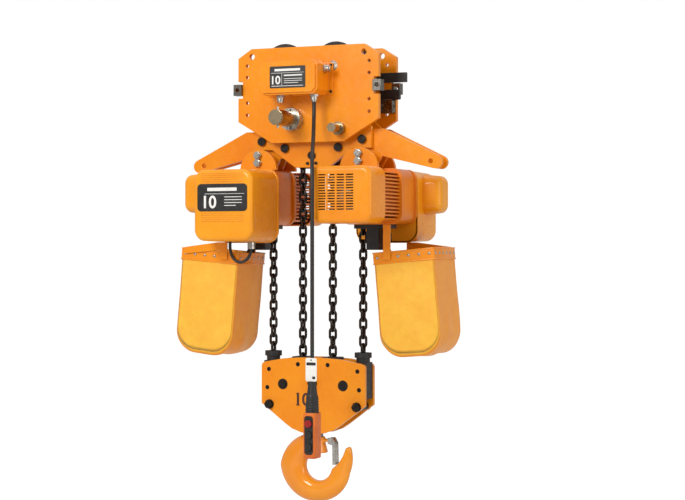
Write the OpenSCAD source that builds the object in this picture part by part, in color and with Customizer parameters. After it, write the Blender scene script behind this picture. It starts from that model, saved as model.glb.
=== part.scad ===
/* [Trolley] */
// Thickness of each trolley side plate
plate_t = 20; // [16:1:24]
// Half of the clear width between the side plates
plate_in = 80; // [78:1:90]
// Distance of each wheel from the middle, along the beam
wheel_x = 110; // [104:1:116]
// Radius of the wheel tread
tread_r = 75; // [65:1:80]
// How far the load shaft stands out of the front plate
shaft_out = 164; // [120:2:180]

/* [Control box] */
// Width of the control box along the beam
box_w = 254; // [220:2:270]
// Height of the control box
box_h = 134; // [110:2:150]
// Depth of the control box without its lid
box_d = 104; // [80:2:120]

/* [Hoist bodies] */
// Distance of each hoist's shaft from the middle, along the beam
hoist_x = 248; // [246:1:252]
// Height of the hoist shafts below the wheel treads
hoist_z = -437; // [-445:1:-430]
// Width of the fan cover
cover_w = 255; // [230:1:260]
// Height of the fan cover
cover_h = 218; // [200:1:220]
// Length from the middle to each end of a hoist body
hoist_end = 345; // [330:1:360]

/* [Chain] */
// Diameter of the chain wire
wire_d = 11.2; // [10:0.1:12]
// Pitch of the chain links
pitch = 34; // [33:0.5:35]
// Pitch radius of the load sheaves
load_r = 51.5; // [50:0.5:53]
// Pitch radius of the block sheaves
block_r = 65.5; // [64:0.5:67]

/* [Hook block] */
// Height of the block sheave axles
sheave_z = -1180; // [-1200:5:-1160]
// Half of the block's thickness
block_y = 50; // [46:1:54]
// Radius of the hook's bowl
bowl_r = 57; // [50:1:60]
// Half of the hook's thickness at the saddle
hook_t = 34; // [28:1:38]

/* [Chain bags] */
// Width of a chain bag along the beam
bag_w = 250; // [230:2:256]
// Depth of a chain bag across the beam
bag_d = 230; // [200:2:240]
// Height of a chain bag
bag_h = 410; // [360:5:420]

/* [Pendant] */
// Diameter of the pendant cable
cable_d = 15; // [12:1:18]
// Height of the pendant case
case_h = 172; // [150:2:190]

/* [Hidden] */
$fn = 48;
run = 0.05;             // radial running clearance of a bearing
gap = 0.4;              // clearance between neighbours that move apart
plate_out = plate_in + plate_t;
wheel_teeth = 38;
pinion_teeth = 12;
gear_m = 5;             // gear module of the travel drive
rim_r = gear_m * wheel_teeth / 2;
pinion_r = gear_m * pinion_teeth / 2;
pinion_drop = sqrt(pow(rim_r + pinion_r, 2) - pow(wheel_x, 2));
mesh_a = atan2(pinion_drop, wheel_x);
load_x = -60;
load_z = -132;
tie_x = 138;
tie_z = -172;
box_x = -30;
box_z = 25;
lid_t = 20;
susp_y = 38;            // inner face of the suspension plates
susp_t = 18;
arm_y = 22;             // inner face of the arms
arm_t = 14;
ear_y = 79;
ear_x = 218;
stud_z = [-269, -300];
top_z = hoist_z + cover_h / 2;
base_z = hoist_z - cover_h / 2;
motor_y = -203;         // joint between fan cover and motor housing
flange_y = -44;
gear_y0 = -30;
gear_y1 = 117;
control_w = 262;
control_top = -330;
control_base = -615;
fall_in = block_r;      // chain falls, measured from the middle
fall_out = hoist_x - load_r;
slack_x = hoist_x + load_r;
sheave_x = (fall_in + fall_out) / 2;
link_w = 3.3 * wire_d;
susp_base = -319;
fall_top = -512;        // just under the load sheaves
fall_low = -1098;       // just inside the block's top wall
block_top = -1088;
block_base = -1375;
pivot_z = -1323;
cheek_t = 16;
block_bolt_at = [[0, -1174], [-190, -1262], [190, -1262]];
block_screw_at = [[-193, -1122], [193, -1122], [-65, -1100], [65, -1100], [-200, -1195], [200, -1195]];
bowl_x = 6;
bowl_z = -1505;
hook_stations = 26;
latch_x = 60;
latch_z = -1402;
bag_x = 380;
bag_y = 80;
bag_z = -650;
bag_tilt = 5;
rim_h = 48;
cloth_t = 4;
pendant_x = 148;
pendant_y = -372;
case_z = -1429;
// Route of the pendant cable, from inside its gland to the strain sleeve
cable_path = [[63, -172, -60], [63, -172, -95], [66, -180, -135], [80, -213, -185], [104, -270, -238],
              [129, -330, -288], [143, -362, -335], [148, -371, -395], [148, -372, -480], [148, -372, -650],
              [148, -372, -820], [148, -372, -1000], [148, -372, -1170]];
// Route of the control lead under the left hoist
lead_path = [[-282, -214, -615.4], [-281, -214, -645], [-268, -214, -678], [-240, -212, -694],
             [-212, -208, -684], [-196, -204, -655], [-194, -203, -630]];

// ---- shared shapes ----

// A flat outline in X and Z, standing from y0 towards the front by t
module upright(y0, t) {
    translate([0, y0, 0]) rotate([90, 0, 0]) linear_extrude(t) children();
}

// A round bar along Y from y0 to y1 at (x, z)
module bar_y(x, z, r, y0, y1) {
    translate([x, y1, z]) rotate([90, 0, 0]) cylinder(r = r, h = y1 - y0);
}

// A tube along Y
module ring_y(x, z, r, bore, y0, y1) {
    difference() {
        bar_y(x, z, r, y0, y1);
        bar_y(x, z, bore, y0 - 1, y1 + 1);
    }
}

// A hexagon nut or bolt head along Y
module hex_y(x, z, r, y0, y1) {
    translate([x, y1, z]) rotate([90, 0, 0]) cylinder(r = r, h = y1 - y0, $fn = 6);
}

// A rectangle with round corners, centred
module round_rect(w, h, r) {
    square([w - 2 * r, h], center = true);
    square([w, h - 2 * r], center = true);
    for (sx = [-1, 1], sz = [-1, 1]) translate([sx * (w / 2 - r), sz * (h / 2 - r)]) circle(r);
}

// The same thing on both hoists, which are half a turn apart
module both_hoists() {
    children();
    rotate([0, 0, 180]) children();
}

// Mirrored to the left and right
module both_sides() {
    children();
    mirror([1, 0, 0]) children();
}

// Outline of a spur gear with a tooth on the +X axis at phase 0
module gear_outline(teeth, phase) {
    step = 360 / teeth;
    r = gear_m * teeth / 2;
    tooth = [[-0.34, r - 1.1 * gear_m], [-0.12, r + 0.75 * gear_m], [0.12, r + 0.75 * gear_m],
             [0.34, r - 1.1 * gear_m]];
    polygon([for (i = [0 : teeth - 1], p = tooth)
        p[1] * [cos(phase + (i + p[0]) * step), sin(phase + (i + p[0]) * step)]]);
}

// ---- trolley ----

module trolley_outline() {
    polygon([[-245, 155], [245, 155], [304, 118], [304, 26], [284, 26], [284, -41], [304, -41],
             [304, -135], [155, -222], [-155, -222], [-304, -135], [-304, -41], [-284, -41], [-284, 26],
             [-304, 26], [-304, 118]]);
}

module trolley_plate(y0) {
    color("#F08A1C") difference() {
        upright(y0, plate_t) trolley_outline();
        for (x = [-wheel_x, wheel_x]) bar_y(x, tread_r, 20, y0 - plate_t - 1, y0 + 1);
        bar_y(load_x, load_z, 31, y0 - plate_t - 1, y0 + 1);
        bar_y(tie_x, tie_z, 18, y0 - plate_t - 1, y0 + 1);
        for (x = [-243, 243]) bar_y(x, 124, 12, y0 - plate_t - 1, y0 + 1);
        for (x = [-264, 264], z = [88, 42, -60, -108]) bar_y(x, z, 7, y0 - plate_t - 1, y0 + 1);
    }
}

module front_plate() trolley_plate(-plate_in);
module rear_plate() color("#F08A1C") difference() {
    trolley_plate(plate_out);
    bar_y(0, tread_r - pinion_drop, 15, plate_in - 1, plate_out + 1);
}

// Stub axles, stepped at the plate, each with its bearing ring
module wheel_axles() {
    color("silver") for (x = [-wheel_x, wheel_x], s = [-1, 1]) rotate([0, 0, s < 0 ? 0 : 180]) {
        bar_y(x, tread_r, 20, -plate_out, -plate_in);
        bar_y(x, tread_r, 17, -plate_in, -40);
        bar_y(x, tread_r, 22, -plate_in, -plate_in + 3);
        bar_y(x, tread_r, 22, -40, -36);
        ring_y(x, tread_r, 26 - run, 17, -74, -44);
    }
}

// Plain flanged wheel: axis along Z, flange at the top
module plain_wheel() {
    rotate_extrude($fn = 96) polygon([[26, 0], [tread_r - 3, 0], [tread_r, 3], [tread_r, 23],
        [97, 25], [97, 34], [60, 34], [56, 28], [40, 28], [38, 34], [26, 34]]);
}

// Wheel whose flange carries the gear rim
module geared_wheel(phase) {
    rotate_extrude($fn = 96) polygon([[26, 0], [tread_r - 3, 0], [tread_r, 3], [tread_r, 22], [26, 22]]);
    translate([0, 0, 22]) linear_extrude(12) difference() {
        gear_outline(wheel_teeth, phase);
        circle(26);
    }
}

module front_wheel(x) {
    color("#2A2725") translate([x, -42, tread_r]) rotate([90, 0, 0]) plain_wheel();
}

// phase is measured in the X-Z plane from +X towards +Z
module rear_wheel(x, phase) {
    color("#2A2725") translate([x, 42, tread_r]) rotate([-90, 0, 0]) geared_wheel(-phase);
}

// Wheel phase that sets a tooth gap on the line of centres at angle a
function mesh_phase(a, pinion_phase) =
    a + 180 + (360 / wheel_teeth) * (0.5 + (a - pinion_phase) / (360 / pinion_teeth));

module front_left_wheel() front_wheel(-wheel_x);
module front_right_wheel() front_wheel(wheel_x);
module rear_left_wheel() rear_wheel(-wheel_x, mesh_phase(180 - mesh_a, 0));
module rear_right_wheel() rear_wheel(wheel_x, mesh_phase(mesh_a, 0));

module drive_pinion() {
    color("gray") translate([0, 64, tread_r - pinion_drop]) rotate([-90, 0, 0]) {
        linear_extrude(13) gear_outline(pinion_teeth, 0);
        translate([0, 0, 13]) cylinder(r = 15 - run, h = 43);
    }
}

// Gearbox bolted to the rear plate, bored for the pinion shaft
module travel_gearbox() {
    z = tread_r - pinion_drop;
    color("#F08A1C") difference() {
        union() {
            upright(plate_out + 62, 62) translate([0, z + 8]) round_rect(170, 190, 30);
            upright(plate_out + 12, 12) translate([0, z + 8]) round_rect(200, 216, 30);
        }
        bar_y(0, z, 15, plate_out - 1, plate_out + 30);
        bar_y(0, z, 24, plate_out + 20, plate_out + 30);
    }
}

module travel_motor() {
    z = tread_r - pinion_drop - 40;
    color("#E0761A") union() {
        bar_y(0, z, 58, plate_out + 62, plate_out + 210);
        bar_y(0, z, 70, plate_out + 62, plate_out + 74);
        bar_y(0, z, 66, plate_out + 210, plate_out + 262);
        for (a = [0 : 20 : 340]) translate([0, 0, z]) rotate([0, a, 0])
            translate([-2, plate_out + 80, 50]) cube([4, 124, 15]);
    }
}

// Long plated shaft that carries the suspension frame
module load_shaft() {
    color("#D8C27A") difference() {
        union() {
            bar_y(load_x, load_z, 31, -plate_out - shaft_out + 3, plate_out);
            bar_y(load_x, load_z, 28, -plate_out - shaft_out, -plate_out - shaft_out + 3);
            bar_y(load_x, load_z, 42, plate_out, plate_out + 12);
        }
        for (y = [-plate_out - shaft_out + 24, -plate_out - 46])
            translate([load_x, y, load_z - 40]) cylinder(r = 5, h = 80);
    }
}

// Adjusting washers, spacer tubes and the split pins through the shaft
module shaft_washers() {
    color("#D9CDA4") {
        for (i = [0 : 4]) ring_y(load_x, load_z, 44, 31, -plate_out - 7 * i - 6.5, -plate_out - 7 * i);
        for (y = [[-plate_in, -susp_y - susp_t], [susp_y + susp_t, plate_in]]) {
            ring_y(load_x, load_z, 40, 31, y[0], y[1]);
            ring_y(tie_x, tie_z, 28, 18, y[0], y[1]);
        }
    }
    color("silver") for (y = [-plate_out - shaft_out + 24, -plate_out - 46])
        translate([load_x, y, load_z - 42]) cylinder(r = 4.6, h = 84);
}

module tie_shaft() {
    color("#D8C27A") {
        bar_y(tie_x, tie_z, 18, -plate_out - 77, plate_out);
        bar_y(tie_x, tie_z, 26, plate_out, plate_out + 10);
        bar_y(tie_x, tie_z, 26, -plate_out - 20, -plate_out);
    }
}

// Square blocks in the side notches of both plates
module guide_blocks() {
    color("#3A3632") both_sides() for (y = [-plate_out - 14, plate_in]) difference() {
        translate([284, y, -30]) cube([35, plate_t + 14, 44]);
        bar_y(302, -8, 9, y - 1, y + plate_t + 15);
    }
}

// Rubber buffer bar on the inside of the rear plate, past its right end
module rubber_buffer() {
    color("#191817") translate([228, plate_in - 17, 16]) cube([124, 17, 38]);
}

// Black block and plated U bracket inside the right end of the rear plate
module limit_switch() {
    color("#1E1C1B") translate([240, plate_in - 15, -52]) cube([85, 15, 40]);
    color("silver") difference() {
        translate([240, plate_in - 36, -106]) cube([62, 36, 54]);
        translate([245, plate_in - 37, -101]) cube([52, 32, 50]);
    }
}

// ---- control box ----

// A rectangle with its corners cut off by c
module cut_rect(w, h, c) {
    polygon([[-w / 2, c - h / 2], [-w / 2, h / 2 - c], [c - w / 2, h / 2], [w / 2 - c, h / 2],
             [w / 2, h / 2 - c], [w / 2, c - h / 2], [w / 2 - c, -h / 2], [c - w / 2, -h / 2]]);
}

module control_box() {
    color("#F59A22") difference() {
        union() {
            translate([box_x, 0, box_z]) upright(-plate_out, box_d) cut_rect(box_w, box_h, 18);
            translate([box_x, 0, box_z]) upright(-plate_out, 7) round_rect(box_w + 34, box_h - 6, 12);
        }
        translate([box_x, 0, box_z]) upright(-plate_out - 5, box_d) cut_rect(box_w - 10, box_h - 10, 17);
        for (x = [-82, 63]) translate([x, -172, -60]) cylinder(r = 12, h = 40);
        translate([box_x + box_w / 2 - 20, -150, 58]) rotate([0, 90, 0]) cylinder(r = 12, h = 40);
    }
}

module box_lid() {
    y = -plate_out - box_d;
    color("#F7A030") translate([box_x, 0, box_z]) {
        upright(y - gap, lid_t - 8) cut_rect(box_w, box_h, 18);
        upright(y - gap - lid_t + 8, 8) cut_rect(box_w - 14, box_h - 14, 16);
    }
}

module box_screws() {
    y = -plate_out - 7;
    color("silver") for (x = [-1, 1], z = [-1, 1])
        bar_y(box_x + x * (box_w / 2 + 9), box_z + z * (box_h / 2 - 15), 5, y - 5, y);
}

module gland() {
    cylinder(r = 18, h = 8, $fn = 6);
    translate([0, 0, -14]) cylinder(r = 15, h = 14);
    translate([0, 0, -20]) cylinder(r = 11, h = 6);
    translate([0, 0, 8]) cylinder(r = 12, h = 4);
}

module cable_glands() {
    z = box_z - box_h / 2 - 8;
    color("#20201F") {
        difference() {
            translate([63, -172, z]) gland();
            translate([63, -172, z - 22]) cylinder(r = cable_d / 2, h = 40);
        }
        translate([-82, -172, z]) gland();
        translate([box_x + box_w / 2 + 8, -150, 58]) rotate([0, -90, 0]) gland();
        both_hoists() difference() {
            translate([194, 203, control_base - 27]) cylinder(r = 15, h = 27);
            translate([194, 203, control_base - 28]) cylinder(r = 6, h = 13);
        }
    }
}

// Contactors and transformer in the control box and behind each control cover
module contactors() {
    color("#4A4A48") {
        for (i = [0 : 3]) translate([box_x - 105 + 52 * i, -plate_out - 75, box_z - 30]) cube([44, 70, 60]);
        both_hoists() for (i = [0 : 2])
            translate([hoist_x - 100 + 70 * i, gear_y1 + gap, hoist_z - 90]) cube([58, 90, 80]);
    }
}

module nameplates() {
    y = -plate_out - box_d - gap - lid_t;
    color("#1B1A19") {
        translate([box_x + 4, 0, box_z]) upright(y, 2) round_rect(152, 84, 4);
        both_hoists() translate([hoist_x, 0, hoist_z - 6]) upright(hoist_end + 2, 2) round_rect(216, 106, 16);
    }
}

// ---- suspension ----

module suspension_outline() {
    difference() {
        polygon([[-254, -164], [-180, -92], [180, -92], [254, -164], [254, -247], [175, -247],
                 [73, susp_base], [-73, susp_base], [-175, -247], [-254, -247]]);
        translate([load_x, load_z]) circle(31);
        translate([tie_x, tie_z]) circle(18);
        for (x = [-218, 218]) translate([x, -213]) circle(12);
        for (x = [-116, 116]) translate([x, -242]) circle(12);
        translate([0, -272]) circle(16);
        for (x = [-18, 18]) translate([x, -303]) circle(6);
    }
}

module suspension_plates() {
    color("#E57E1E") for (y = [-susp_y, susp_y + susp_t]) upright(y, susp_t) suspension_outline();
}

module arm_outline() {
    difference() {
        union() {
            polygon([[90, -270], [90, -205], [160, -172], [300, -172], [527, -282], [507, -331], [292, -279],
                     [264, -324], [170, -324], [150, -282]]);
            translate([516, -306]) circle(26);
        }
        translate([494, -303]) circle(10);
        translate([218, -213]) circle(12);
        translate([116, -242]) circle(12);
        for (z = stud_z) translate([ear_x, z]) circle(12);
        translate([tie_x, tie_z]) circle(30);
    }
}

module hanger_arms() {
    color("#F08A1C") both_sides() for (y = [-arm_y, arm_y + arm_t]) upright(y, arm_t) arm_outline();
}

module suspension_pins() {
    out = susp_y + susp_t;
    color("#2B2725") {
        for (p = [[-218, -213], [218, -213], [-116, -242], [116, -242]]) {
            bar_y(p[0], p[1], 12, -out - 6, out + 6);
            for (y = [-out - 12, out + 6]) bar_y(p[0], p[1], 17, y, y + 6);
        }
        bar_y(0, -272, 16, -out - 8, out + 8);
        for (x = [-18, 18]) bar_y(x, -303, 6, -out - 6, out + 6);
    }
}

// Forked anchors that hold the dead falls
module chain_anchors() {
    color("#3B3733") both_sides() difference() {
        translate([fall_in - 16, -arm_y, -316]) cube([32, 2 * arm_y, 66]);
        translate([fall_in - 17, -6.5, -317]) cube([34, 13, 58]);
        translate([fall_in, 0, -340]) cylinder(r = 0.55 * link_w, h = 42);
    }
    color("#3B3733") both_sides() for (y = [-susp_y, arm_y])
        translate([fall_in - 12, y, -300]) cube([24, susp_y - arm_y, 40]);
    color("silver") both_sides() bar_y(fall_in, -290, 5, -6.5, 6.5);
}

// Rounded ears that hang a hoist body from the arms
module hoist_ears() {
    color("#F08A1C") both_sides() for (y = [-ear_y, ear_y + 16]) difference() {
        upright(y, 16) intersection() {
            translate([ear_x, -327]) circle(80);
            translate([ear_x - 90, top_z]) square([180, 120]);
        }
        for (z = stud_z) bar_y(ear_x, z, 12, y - 20, y + 2);
    }
}

module ear_studs() {
    color("#C9C9C4") both_sides() for (z = stud_z) {
        bar_y(ear_x, z, 12, -ear_y - 34, ear_y + 34);
        for (y = [-ear_y - 29, ear_y + 16]) difference() {
            hex_y(ear_x, z, 17, y, y + 13);
            bar_y(ear_x, z, 12, y - 1, y + 14);
        }
    }
}

// ---- hoist bodies, drawn for the right side ----

module hoist_section(w, h, r) {
    translate([hoist_x, hoist_z]) round_rect(w, h, r);
}

module gearcases() {
    color("#E8811F") both_hoists() difference() {
        union() {
            upright(gear_y1, gear_y1 - gear_y0) hoist_section(cover_w - 10, cover_h, 36);
            upright(gear_y1, 12) hoist_section(cover_w + 6, cover_h, 40);
        }
        translate([hoist_x - 72, -24, base_z - 1]) cube([144, 48, 182]);
        bar_y(hoist_x, hoist_z, 20, gear_y0 - 1, 60);
    }
}

// Finned housing with the cast flange that bolts to the gearcase
module motor_housings() {
    fins = 14;
    step = (cover_h - 24) / fins;
    color("#E0761A") both_hoists() difference() {
        union() {
            upright(flange_y, flange_y - motor_y) hoist_section(196, 172, 40);
            upright(flange_y, flange_y - motor_y - 6) intersection() {
                hoist_section(242, cover_h - 8, 44);
                for (i = [0 : fins - 1]) translate([hoist_x - 130, base_z + 16 + i * step]) square([260, 6]);
            }
            upright(gear_y0, 14) hoist_section(cover_w + 8, cover_h, 40);
        }
        bar_y(hoist_x, hoist_z, 62, motor_y - 1, flange_y - 10);
        bar_y(hoist_x, hoist_z, 20, flange_y - 11, gear_y0 + 1);
    }
}

// Rotor core with the fan on its tail shaft
module rotor() {
    color("#8A8A86") {
        bar_y(hoist_x, hoist_z, 19, -330, -36);
        bar_y(hoist_x, hoist_z, 58, -190, -62);
    }
    color("#3A3A38") difference() {
        bar_y(hoist_x, hoist_z, 86, -300, -240);
        ring_y(hoist_x, hoist_z, 90, 84, -301, -239);
        for (a = [0 : 45 : 315]) translate([hoist_x, 0, hoist_z]) rotate([0, a, 0])
            translate([8, -301, 24]) cube([40, 52, 70]);
    }
}

module right_rotor() rotor();
module left_rotor() rotate([0, 0, 180]) rotor();

module fan_covers() {
    color("#F59A22") both_hoists() difference() {
        upright(motor_y - gap, hoist_end + motor_y - gap) hoist_section(cover_w, cover_h, 38);
        upright(motor_y, hoist_end + motor_y - 5) hoist_section(cover_w - 9, cover_h - 9, 34);
        upright(-hoist_end + 20, 40) for (c = [0 : 3], r = [0 : 13])
            translate([hoist_x - 88 + 38 * c, hoist_z - 58 + 10 * r]) square([31, 5]);
    }
}

module control_covers() {
    w = control_w;
    h = control_top - control_base;
    mid = (control_top + control_base) / 2;
    color("#F7A030") both_hoists() {
        difference() {
            union() {
                upright(hoist_end, hoist_end - gear_y1 - gap)
                    translate([hoist_x, mid]) round_rect(w, h, 42);
                translate([hoist_x + w / 2 - 10, 176, -424]) rotate([0, 90, 0])
                    linear_extrude(84) translate([0, 60]) round_rect(160, 120, 40);
            }
            upright(hoist_end - 5, hoist_end - gear_y1 - gap)
                translate([hoist_x, mid]) round_rect(w - 9, h - 9, 38);
            for (i = [0 : 4], z = [control_top - 22, control_base + 109])
                translate([hoist_x - 92, hoist_end - 2, z - 8 * i]) cube([184, 4, 3]);
        }
    }
}

// Pocketed chain wheel, axis along Y
module pocket_wheel(r, x, z, bore) {
    pockets = floor(PI * r / pitch) + 1;
    color("#55504B") difference() {
        union() {
            bar_y(x, z, r - 3, -20, 20);
            bar_y(x, z, r + 14, -20, -7);
            bar_y(x, z, r + 14, 7, 20);
        }
        for (i = [0 : pockets - 1]) translate([x, 0, z]) rotate([0, i * 360 / pockets, 0])
            translate([-15, -16, r - 8]) cube([30, 32, 40]);
        bar_y(x, z, bore, -21, 21);
    }
}

module right_load_sheave() {
    pocket_wheel(load_r, hoist_x, hoist_z, 12);
    color("#8A8A86") {
        bar_y(hoist_x, hoist_z, 12, -24, 24);
        bar_y(hoist_x, hoist_z, 20 - run, 24, 56);
    }
}

module left_load_sheave() rotate([0, 0, 180]) right_load_sheave();

// Chain guides that close the bottom of each gearcase
module chain_guides() {
    color("#2A2826") both_hoists() difference() {
        translate([hoist_x - 78, -30, base_z - 16]) cube([156, 60, 16 - gap]);
        for (x = [fall_out, slack_x]) translate([x, 0, base_z - 20]) cylinder(r = 22, h = 30);
    }
    color("#1B1A19") both_hoists()
        translate([hoist_x - 26, -28, base_z - 100]) cube([52, 56, 84 - gap]);
}

// ---- chain ----

// One flat-sided link, its long axis along Z, lying in the X-Z plane
module link() {
    inner = pitch / 2 - wire_d / 2 + 2.5;
    translate([0, wire_d / 2, 0]) rotate([90, 0, 0]) linear_extrude(wire_d) difference() {
        union() {
            square([link_w, 2 * inner], center = true);
            for (s = [-1, 1]) translate([0, s * inner]) circle(link_w / 2, $fn = 24);
        }
        square([link_w - 2 * wire_d, pitch - 0.6], center = true);
    }
}

// A straight run of chain hanging from z_top, with alternate links crossed
module chain_run(x, z_top, z_low) {
    links = floor((z_top - z_low) / pitch);
    color("#2B2420") for (i = [0 : links - 1])
        translate([x, 0, z_top - pitch * (i + 0.5)]) rotate([0, 0, i % 2 == 0 ? 0 : 90]) link();
}

module dead_falls() both_sides() chain_run(fall_in, -282, fall_low);
module live_falls() both_sides() chain_run(fall_out, fall_top, fall_low);
module slack_chains() both_hoists() chain_run(slack_x, fall_top, bag_z - 120);

// ---- bags and lead ----

// Triangles that join rings of points into a closed skin, with a fan on each end
function skin(rings, sides) = concat(
    [for (k = [1 : sides - 2]) [0, k, k + 1]],
    [for (i = [0 : rings - 2], k = [0 : sides - 1]) [i * sides + (k + 1) % sides, i * sides + k,
        (i + 1) * sides + k]],
    [for (i = [0 : rings - 2], k = [0 : sides - 1]) [i * sides + (k + 1) % sides, (i + 1) * sides + k,
        (i + 1) * sides + (k + 1) % sides]],
    [for (k = [1 : sides - 2], e = [(rings - 1) * sides]) [e, e + k + 1, e + k]]);

module tube(path, r, sides) {
    steps = len(path);
    dirs = [for (i = [0 : steps - 1]) let (a = path[max(i - 1, 0)], b = path[min(i + 1, steps - 1)])
        (b - a) / norm(b - a)];
    ring = [for (i = [0 : steps - 1]) let (u = cross(dirs[i], [0.3, 1, 0.1]), v = u / norm(u),
        w = cross(dirs[i], v)) [for (k = [0 : sides - 1])
            path[i] + r * (v * cos(360 * k / sides) + w * sin(360 * k / sides))]];
    points = [for (r1 = ring, p = r1) p];
    polyhedron(points, skin(steps, sides), convexity = 4);
}

// Points of a Catmull-Rom curve through p, n steps to each span
function curve(p, n) = let (last = len(p) - 1) concat([for (i = [0 : last - 1], k = [0 : n - 1])
    let (t = k / n, a = p[max(i - 1, 0)], b = p[i], c = p[i + 1], d = p[min(i + 2, last)])
    0.5 * (2 * b + t * (c - a) + t * t * (2 * a - 5 * b + 4 * c - d) + t * t * t * (3 * b - a - 3 * c + d))],
    [p[last]]);

module control_lead() color("#1B1A19") tube(curve(lead_path, 4), 6, 8);

// Placed at the right bag's rim, tipped so that its outer side is the higher
module at_bag() {
    translate([bag_x, bag_y, bag_z]) rotate([0, -bag_tilt, 0]) children();
}

module bag_outline(grow) {
    r = 85;
    translate([-bag_w / 2 - grow, -bag_h + r]) square([bag_w + 2 * grow, bag_h - r]);
    translate([-bag_w / 2 + r, -bag_h - grow]) square([bag_w - 2 * r, r + 1]);
    for (s = [-1, 1]) translate([s * (bag_w / 2 - r), -bag_h + r]) circle(r + grow);
}

module bag() {
    color("#F2B13A") at_bag() difference() {
        upright(bag_d / 2, bag_d) bag_outline(0);
        upright(bag_d / 2 - cloth_t, bag_d - 2 * cloth_t) translate([0, 0.1]) bag_outline(-cloth_t);
        translate([-bag_w / 2 + cloth_t, -bag_d / 2 + cloth_t, -10])
            cube([bag_w - 2 * cloth_t, bag_d - 2 * cloth_t, 20]);
    }
}

module right_bag() bag();
module left_bag() rotate([0, 0, 180]) bag();

// Folded metal rims with their rivets
module bag_rims() {
    w = bag_w + 0.4;
    d = bag_d + 0.4;
    color("#E8A63C") both_hoists() at_bag() {
        difference() {
            translate([-w / 2 - 3, -d / 2 - 3, -rim_h + 4]) cube([w + 6, d + 6, rim_h]);
            translate([-w / 2, -d / 2, -rim_h]) cube([w, d, rim_h + 10]);
        }
        for (i = [0 : 5], s = [-1, 1]) {
            bar_y(-w / 2 + 16 + i * (w - 32) / 5, -18, 5, s < 0 ? -d / 2 - 5 : d / 2 + 3,
                  s < 0 ? -d / 2 - 3 : d / 2 + 5);
            translate([s < 0 ? -w / 2 - 5 : w / 2 + 3, -d / 2 + 16 + i * (d - 32) / 5, -18])
                rotate([0, 90, 0]) cylinder(r = 5, h = 2);
        }
    }
}

// Flat bars from under the hoist body to both sides of the rim
module bag_hangers() {
    y = bag_y - bag_d / 2 - 5.4;
    color("#E8A63C") both_hoists() {
        upright(y, 5) translate([300, bag_z - 34]) square([30, base_z - bag_z + 34 - gap]);
        upright(bag_y + bag_d / 2 + 10.4, 5) polygon([[300, control_base - gap], [342, control_base - gap],
            [492, -634], [492, -660], [330, -646], [330, -684], [300, -684]]);
    }
}

// ---- hook block ----

module block_outline() {
    both_sides() polygon([[0, -1072], [60, -1073], [130, -1078], [206, -1092], [220, -1097], [225, -1106],
        [225, -1258], [118, -1338], [90, -1356], [50, -1370], [0, block_base]]);
}

// Front cheek of the block; the rear cheek is its mirror image
module block_cheek() {
    difference() {
        upright(-block_y + cheek_t, cheek_t) block_outline();
        for (x = [-sheave_x, sheave_x]) bar_y(x, sheave_z, 21, -block_y - 1, -block_y + cheek_t + 1);
        bar_y(0, pivot_z, 18, -block_y - 1, -block_y + cheek_t + 1);
        for (p = block_bolt_at) bar_y(p[0], p[1], 9, -block_y - 1, -block_y + cheek_t + 1);
        for (p = block_screw_at) bar_y(p[0], p[1], 9, -block_y - 1, -block_y + 8);
    }
}

module block_front() color("#F7941D") block_cheek();
module block_rear() color("#F7941D") mirror([0, 1, 0]) block_cheek();

module block_sheave(x) {
    pocket_wheel(block_r, x, sheave_z, 21 + run);
}

module right_block_sheave() block_sheave(sheave_x);
module left_block_sheave() block_sheave(-sheave_x);

// Sheave axles, tie bolts with long hexagon heads and spacer tubes, and socket screws
module block_bolts() {
    inside = block_y - cheek_t;
    color("#2E2A27") {
        for (x = [-sheave_x, sheave_x]) bar_y(x, sheave_z, 21, -block_y - 1, block_y + 1);
        for (p = block_bolt_at) {
            bar_y(p[0], p[1], 9, -block_y, block_y);
            for (y = [-block_y - 16, block_y]) {
                hex_y(p[0], p[1], 17, y, y + 13);
                bar_y(p[0], p[1], 19, y < 0 ? y + 13 : y, y < 0 ? y + 16 : y + 3);
            }
        }
        for (p = block_screw_at, y = [-block_y + 2, block_y - 8]) difference() {
            bar_y(p[0], p[1], 9, y, y + 6);
            hex_y(p[0], p[1], 5, y < 0 ? y - 1 : y + 2, y < 0 ? y + 4 : y + 7);
        }
    }
    color("#E0761A") for (p = [block_bolt_at[1], block_bolt_at[2]]) ring_y(p[0], p[1], 16, 9, -inside, inside);
}

// Rubber bumpers on black chain guides between the cheeks
module chain_bumpers() {
    inside = block_y - cheek_t - gap;
    color("#1B1A19") both_sides() {
        translate([fall_out, 0, block_top]) difference() {
            union() {
                cylinder(r = 27, h = 38);
                translate([0, 0, 18]) cylinder(r = 34, h = 20);
            }
            translate([0, 0, -1]) cylinder(r = 23, h = 42);
        }
        difference() {
            translate([162, -inside, block_top - 14]) cube([60, 2 * inside, 14]);
            translate([fall_out, 0, block_top - 20]) cylinder(r = 23, h = 30);
        }
        translate([212, -inside, block_top - 144]) cube([10, 2 * inside, 130]);
        difference() {
            translate([fall_in - 32, -inside, block_top]) cube([64, 2 * inside, 18]);
            translate([fall_in, 0, block_top - 1]) cylinder(r = 22, h = 30);
        }
    }
}

// Swivel crosshead on two trunnions
module crosshead() {
    color("#4A4642") difference() {
        union() {
            translate([-36, -30, pivot_z - 24]) cube([72, 60, 48]);
            bar_y(0, pivot_z, 18 - run, -block_y - 2, block_y + 2);
        }
        translate([0, 0, pivot_z - 60]) cylinder(r = 22, h = 120);
    }
}

// Hook: half-width and centre radius of the section at angle a around the bowl
function hook_outer(a) = a < 180 ? 130 + 40 * (a - 100) / 80 : a < 270 ? 170 - 29 * (a - 180) / 90 :
    a < 350 ? 141 - 5 * (a - 270) / 80 : 136 + 26 * (a - 350) / 40;
function hook_inner(a) = a < 130 ? bowl_r + 45 * pow((130 - a) / 30, 2) : a < 350 ? bowl_r :
    bowl_r + 75 * pow((a - 350) / 40, 1.4);
function hook_thick(a) = a < 300 ? hook_t : hook_t - 16 * (a - 300) / 90;

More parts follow.
